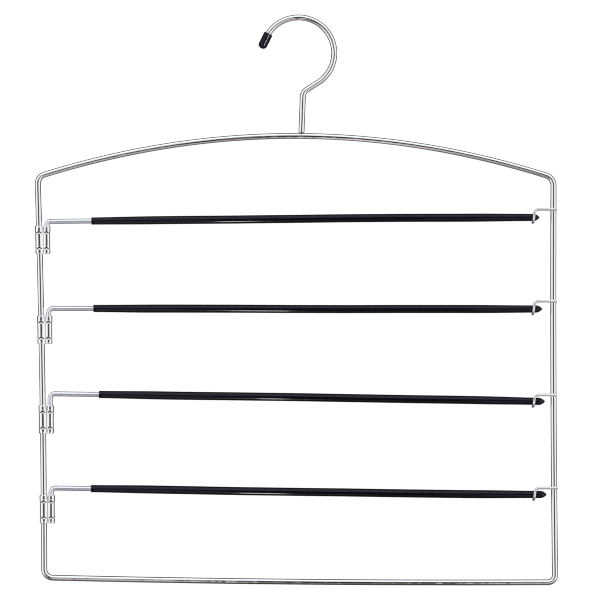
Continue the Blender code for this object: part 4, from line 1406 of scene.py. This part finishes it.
class HANGER_OT_set_studio(bpy.types.Operator):
    """Sets the studio: round white backdrop, pale floor, light from all round, and the camera"""

    bl_idname = "trouser_hanger.set_studio"
    bl_label = "Set the Studio"

    def execute(self, context):
        studio = context.scene.trouser_hanger.studio
        scene = context.scene
        self.backdrop(scene, studio)
        self.floor(scene, studio)
        self.room_light(scene, studio)
        self.dark_card(scene, studio)
        sleeves = [f"soft_sleeve_{tier + 1}" for tier in range(TIERS)]
        self.lamp(scene, studio, "strip", ["tip_cap"])
        self.lamp(scene, studio, "low", sleeves)
        self.camera(scene, studio)
        scene.view_settings.view_transform = "Standard"
        scene.view_settings.look = "None"
        scene.cycles.filter_width = 1.1
        return {"FINISHED"}

    def stand(self, scene, name, rows, material):
        """Stage piece that the camera sees and the hanger's reflections don't."""
        obj = bpy.data.objects.new(name, mesh_of(name, surface(rows)))
        obj.data.materials.append(material)
        scene.collection.objects.link(obj)
        obj.visible_glossy = False
        obj.visible_diffuse = False
        obj.visible_shadow = False

    def backdrop(self, scene, studio):
        """Half a ball over a straight wall that stands on the floor."""
        angle = np.linspace(math.pi / 2, 0, BACKDROP_POINTS)
        radii = np.concatenate(((studio.backdrop,), studio.backdrop * np.sin(angle)))
        heights = np.concatenate(((-studio.floor_drop,), studio.backdrop * np.cos(angle)))
        rows = turned((radii, heights), np.zeros(3), UP, STAGE_SIDES)[:, ::-1]
        material = bpy.data.materials.new("white_backdrop")
        material.use_nodes = True
        tree = material.node_tree
        tree.nodes.clear()
        glow = add(tree, "Emission", {"Color": (1, 1, 1, 1), "Strength": studio.backdrop_glow})
        end = tree.nodes.new("ShaderNodeOutputMaterial")
        tree.links.new(glow, end.inputs["Surface"])
        self.stand(scene, "backdrop", rows, material)

    def floor(self, scene, studio):
        """Round pale floor, far under the hanger."""
        radii = np.linspace(0, studio.backdrop * FLOOR_SHARE, FLOOR_POINTS)
        heights = np.full_like(radii, -studio.floor_drop)
        rows = turned((radii, heights), np.zeros(3), UP, STAGE_SIDES)[:, ::-1]
        material, tree, shader = finish("pale_floor", studio.pale, 0.0, Roughness=0.8)
        mottle = noise(tree, object_place(tree), (2.2, 2.2, 2.2), 3.0)
        shade = ramp(tree, mottle, 0.3, 0.7, 0.0, 1.0)
        tones = colour_blend(tree, shade, studio.pale, scaled(studio.pale, 0.97))
        tree.links.new(tones, shader.inputs["Base Color"])
        tree.links.new(tones, shader.inputs["Emission Color"])
        shader.inputs["Emission Strength"].default_value = studio.pale_glow
        self.stand(scene, "pale_floor", rows, material)

    def room_light(self, scene, studio):
        """Light by direction: boxes beside the camera, ceiling, rear wall, corners and floor.

        Each change is a smooth step of the direction's angle or share. A dark camera and the mast
        that carries it stand at the front, as products of such steps, and make the dark line in
        every wire. The floor is lit in bands from left to right.
        """
        world = bpy.data.worlds.new("studio_light")
        scene.world = world
        world.use_nodes = True
        tree = world.node_tree
        place = tree.nodes.new("ShaderNodeTexCoord").outputs["Generated"]
        split = tree.nodes.new("ShaderNodeSeparateXYZ")
        tree.links.new(place, split.inputs[0])
        x, y, z = split.outputs
        side = maths(tree, "ABSOLUTE", maths(tree, "ARCTAN2", x, maths(tree, "MULTIPLY", y, -1.0)))
        height = maths(tree, "ARCSINE", z)

        def step(value, zone, at_low=0, at_high=1):
            """Smooth step between the two ends of a zone."""
            if zone in LIGHT_SHARES:
                low, high = LIGHT_SHARES[zone]
            else:
                low, high = (math.radians(angle) for angle in LIGHT_ANGLES[zone])
            return ramp(tree, value, low, high, at_low, at_high)

        def product(first, *others):
            """Product of all the values."""
            for other in others:
                first = maths(tree, "MULTIPLY", first, other)
            return first

        walls = blend(tree, step(side, "end_of_boxes"), studio.box_light, studio.corner_light)
        walls = blend(tree, step(side, "rear_wall"), walls, studio.rear_light)
        ceiling = step(y, "ceiling_depth", studio.top_light, studio.corner_light)
        ground = step(x, "ground_middle", studio.front_floor, studio.right_floor)
        ground = blend(tree, step(x, "ground_right"), ground, studio.side_floor)
        ground = blend(tree, step(x, "ground_left", 1, 0), ground, studio.right_floor)
        ground = blend(tree, step(y, "ground_depth"), ground, studio.back_floor)
        light = blend(tree, step(height, "ceiling"), walls, ceiling)
        light = blend(tree, step(height, "ground", 1, 0), light, ground)
        upper = product(step(x, "mast_left", 0.5, 1), step(x, "mast_right", 1, 0.5))
        lower = product(step(x, "mast_left", 0.4, 1), step(x, "foot_right", 1, 0.3))
        lower = maths(tree, "MAXIMUM", lower, step(x, "foot_far_left", 1, 0))
        mast = product(
            blend(tree, step(height, "mast_foot"), lower, upper),
            step(side, "mast_sides", 1, 0),
            step(height, "mast_bottom"),
            step(height, "mast_top", 1, 0),
        )
        camera = product(
            step(side, "camera_sides", 1, 0),
            step(height, "camera_bottom"),
            step(height, "camera_top", 1, 0),
        )
        light = blend(tree, mast, light, studio.mast_shade)
        light = blend(tree, camera, light, studio.camera_shade)
        cool = step(height, "cool_ceiling")
        tint = colour_blend(tree, cool, studio.wall_tint, studio.ceiling_tint)
        warm = step(height, "warm_ground", 1, 0)
        tint = colour_blend(tree, warm, tint, studio.ground_tint)
        shader = tree.nodes["Background"]
        tree.links.new(tint, shader.inputs["Color"])
        tree.links.new(light, shader.inputs["Strength"])

    def dark_card(self, scene, studio):
        """Level card close under the foot rail, dark in its middle, for the wires' lower halves."""
        foot = frame_corners(scene.trouser_hanger.frame)[:, 2].min()
        half = studio.card_depth / 2
        x, y = np.meshgrid(np.linspace(-0.5, 0.5, 6), np.linspace(half, -half, 3))
        z = np.full_like(x, foot - studio.card_drop)
        rows = np.stack((x * studio.card, y * studio.card, z), -1)
        material, tree, shader = finish("dark_card", studio.card_middle, 0.0, Roughness=0.9)
        across = add(tree, "SeparateXYZ", {0: object_place(tree)})
        off = maths(tree, "ABSOLUTE", maths(tree, "ADD", across, -CARD_MIDDLE))
        share = ramp(tree, off, *CARD_FADE, 0, 1)
        tones = colour_blend(tree, share, studio.card_middle, studio.card_side)
        tree.links.new(tones, shader.inputs["Base Color"])
        mesh = mesh_of("dark_card", surface(rows, round_across=False))
        card = bpy.data.objects.new("dark_card", mesh)
        card.data.materials.append(material)
        scene.collection.objects.link(card)
        card.visible_camera = False
        card.visible_diffuse = False
        card.visible_shadow = False

    def lamp(self, scene, studio, name, pieces):
        """Narrow lamp whose shine is a streak on the pieces named, which are all that it lights."""
        lamp = bpy.data.lights.new(f"{name}_lamp", "AREA")
        lamp.shape = "RECTANGLE"
        lamp.size = getattr(studio, f"{name}_width")
        lamp.size_y = getattr(studio, f"{name}_length")
        lamp.energy = getattr(studio, f"{name}_power")
        lamp.color = studio.lamp_colour
        holder = bpy.data.objects.new(f"{name}_lamp", lamp)
        scene.collection.objects.link(holder)
        holder.location = getattr(studio, f"{name}_place")
        aim = Vector(getattr(studio, f"{name}_aim")) - holder.location
        holder.rotation_euler = aim.to_track_quat("-Z", "Y").to_euler()
        holder.visible_camera = False
        lit = bpy.data.collections.new(f"lit_by_{name}_lamp")
        for piece in pieces:
            lit.objects.link(scene.objects[piece])
        holder.light_linking.receiver_collection = lit

    def camera(self, scene, studio):
        """Level camera straight in front; its lens is the sensor times distance over view width."""
        data = bpy.data.cameras.new("camera")
        data.sensor_width = SENSOR_WIDTH
        data.lens = data.sensor_width * studio.camera_distance / studio.view_width
        data.clip_start = NEAR_END
        data.clip_end = FAR_END
        eye = bpy.data.objects.new("camera", data)
        scene.collection.objects.link(eye)
        eye.location = (studio.aim_x, -studio.camera_distance, studio.aim_z)
        eye.rotation_euler = (math.pi / 2, 0, 0)
        scene.camera = eye


# Panel


OPERATORS = (
    HANGER_OT_bend_frame,
    HANGER_OT_bend_hook,
    HANGER_OT_turn_cap,
    HANGER_OT_roll_clips,
    HANGER_OT_bend_arms,
    HANGER_OT_draw_sleeves,
    HANGER_OT_bend_catches,
    HANGER_OT_set_studio,
)


class HANGER_PT_sidebar(bpy.types.Panel):
    """Lists the hanger's pieces, its sizes and its finishes"""

    bl_idname = "HANGER_PT_sidebar"
    bl_label = "Trouser Hanger"
    bl_space_type = "VIEW_3D"
    bl_region_type = "UI"
    bl_category = "Trouser Hanger"

    def draw(self, context):
        hanger = context.scene.trouser_hanger
        pieces = self.layout.column(align=True)
        for operator in OPERATORS:
            pieces.operator(operator.bl_idname)
        for title in ("frame", "hook", "clip", "arm", "catch", "finishes", "studio"):
            box = self.layout.box()
            box.label(text=title.capitalize())
            group = getattr(hanger, title)
            for key in group.bl_rna.properties.keys():
                if key not in ("rna_type", "name"):
                    box.prop(group, key)


CLASSES = (
    FrameSizes,
    HookSizes,
    ClipSizes,
    ArmSizes,
    CatchSizes,
    Finishes,
    Studio,
    TrouserHanger,
    *OPERATORS,
    HANGER_PT_sidebar,
)


def register():
    """Registers the classes and gives every scene its hanger."""
    for cls in CLASSES:
        bpy.utils.register_class(cls)
    bpy.types.Scene.trouser_hanger = PointerProperty(type=TrouserHanger)


def unregister():
    """Takes the hanger and the classes away again."""
    del bpy.types.Scene.trouser_hanger
    for cls in reversed(CLASSES):
        bpy.utils.unregister_class(cls)


def main():
    """Builds every piece and the studio."""
    register()
    for operator in OPERATORS:
        group, action = operator.bl_idname.split(".")
        getattr(getattr(bpy.ops, group), action)()


if __name__ == "__main__":
    main()
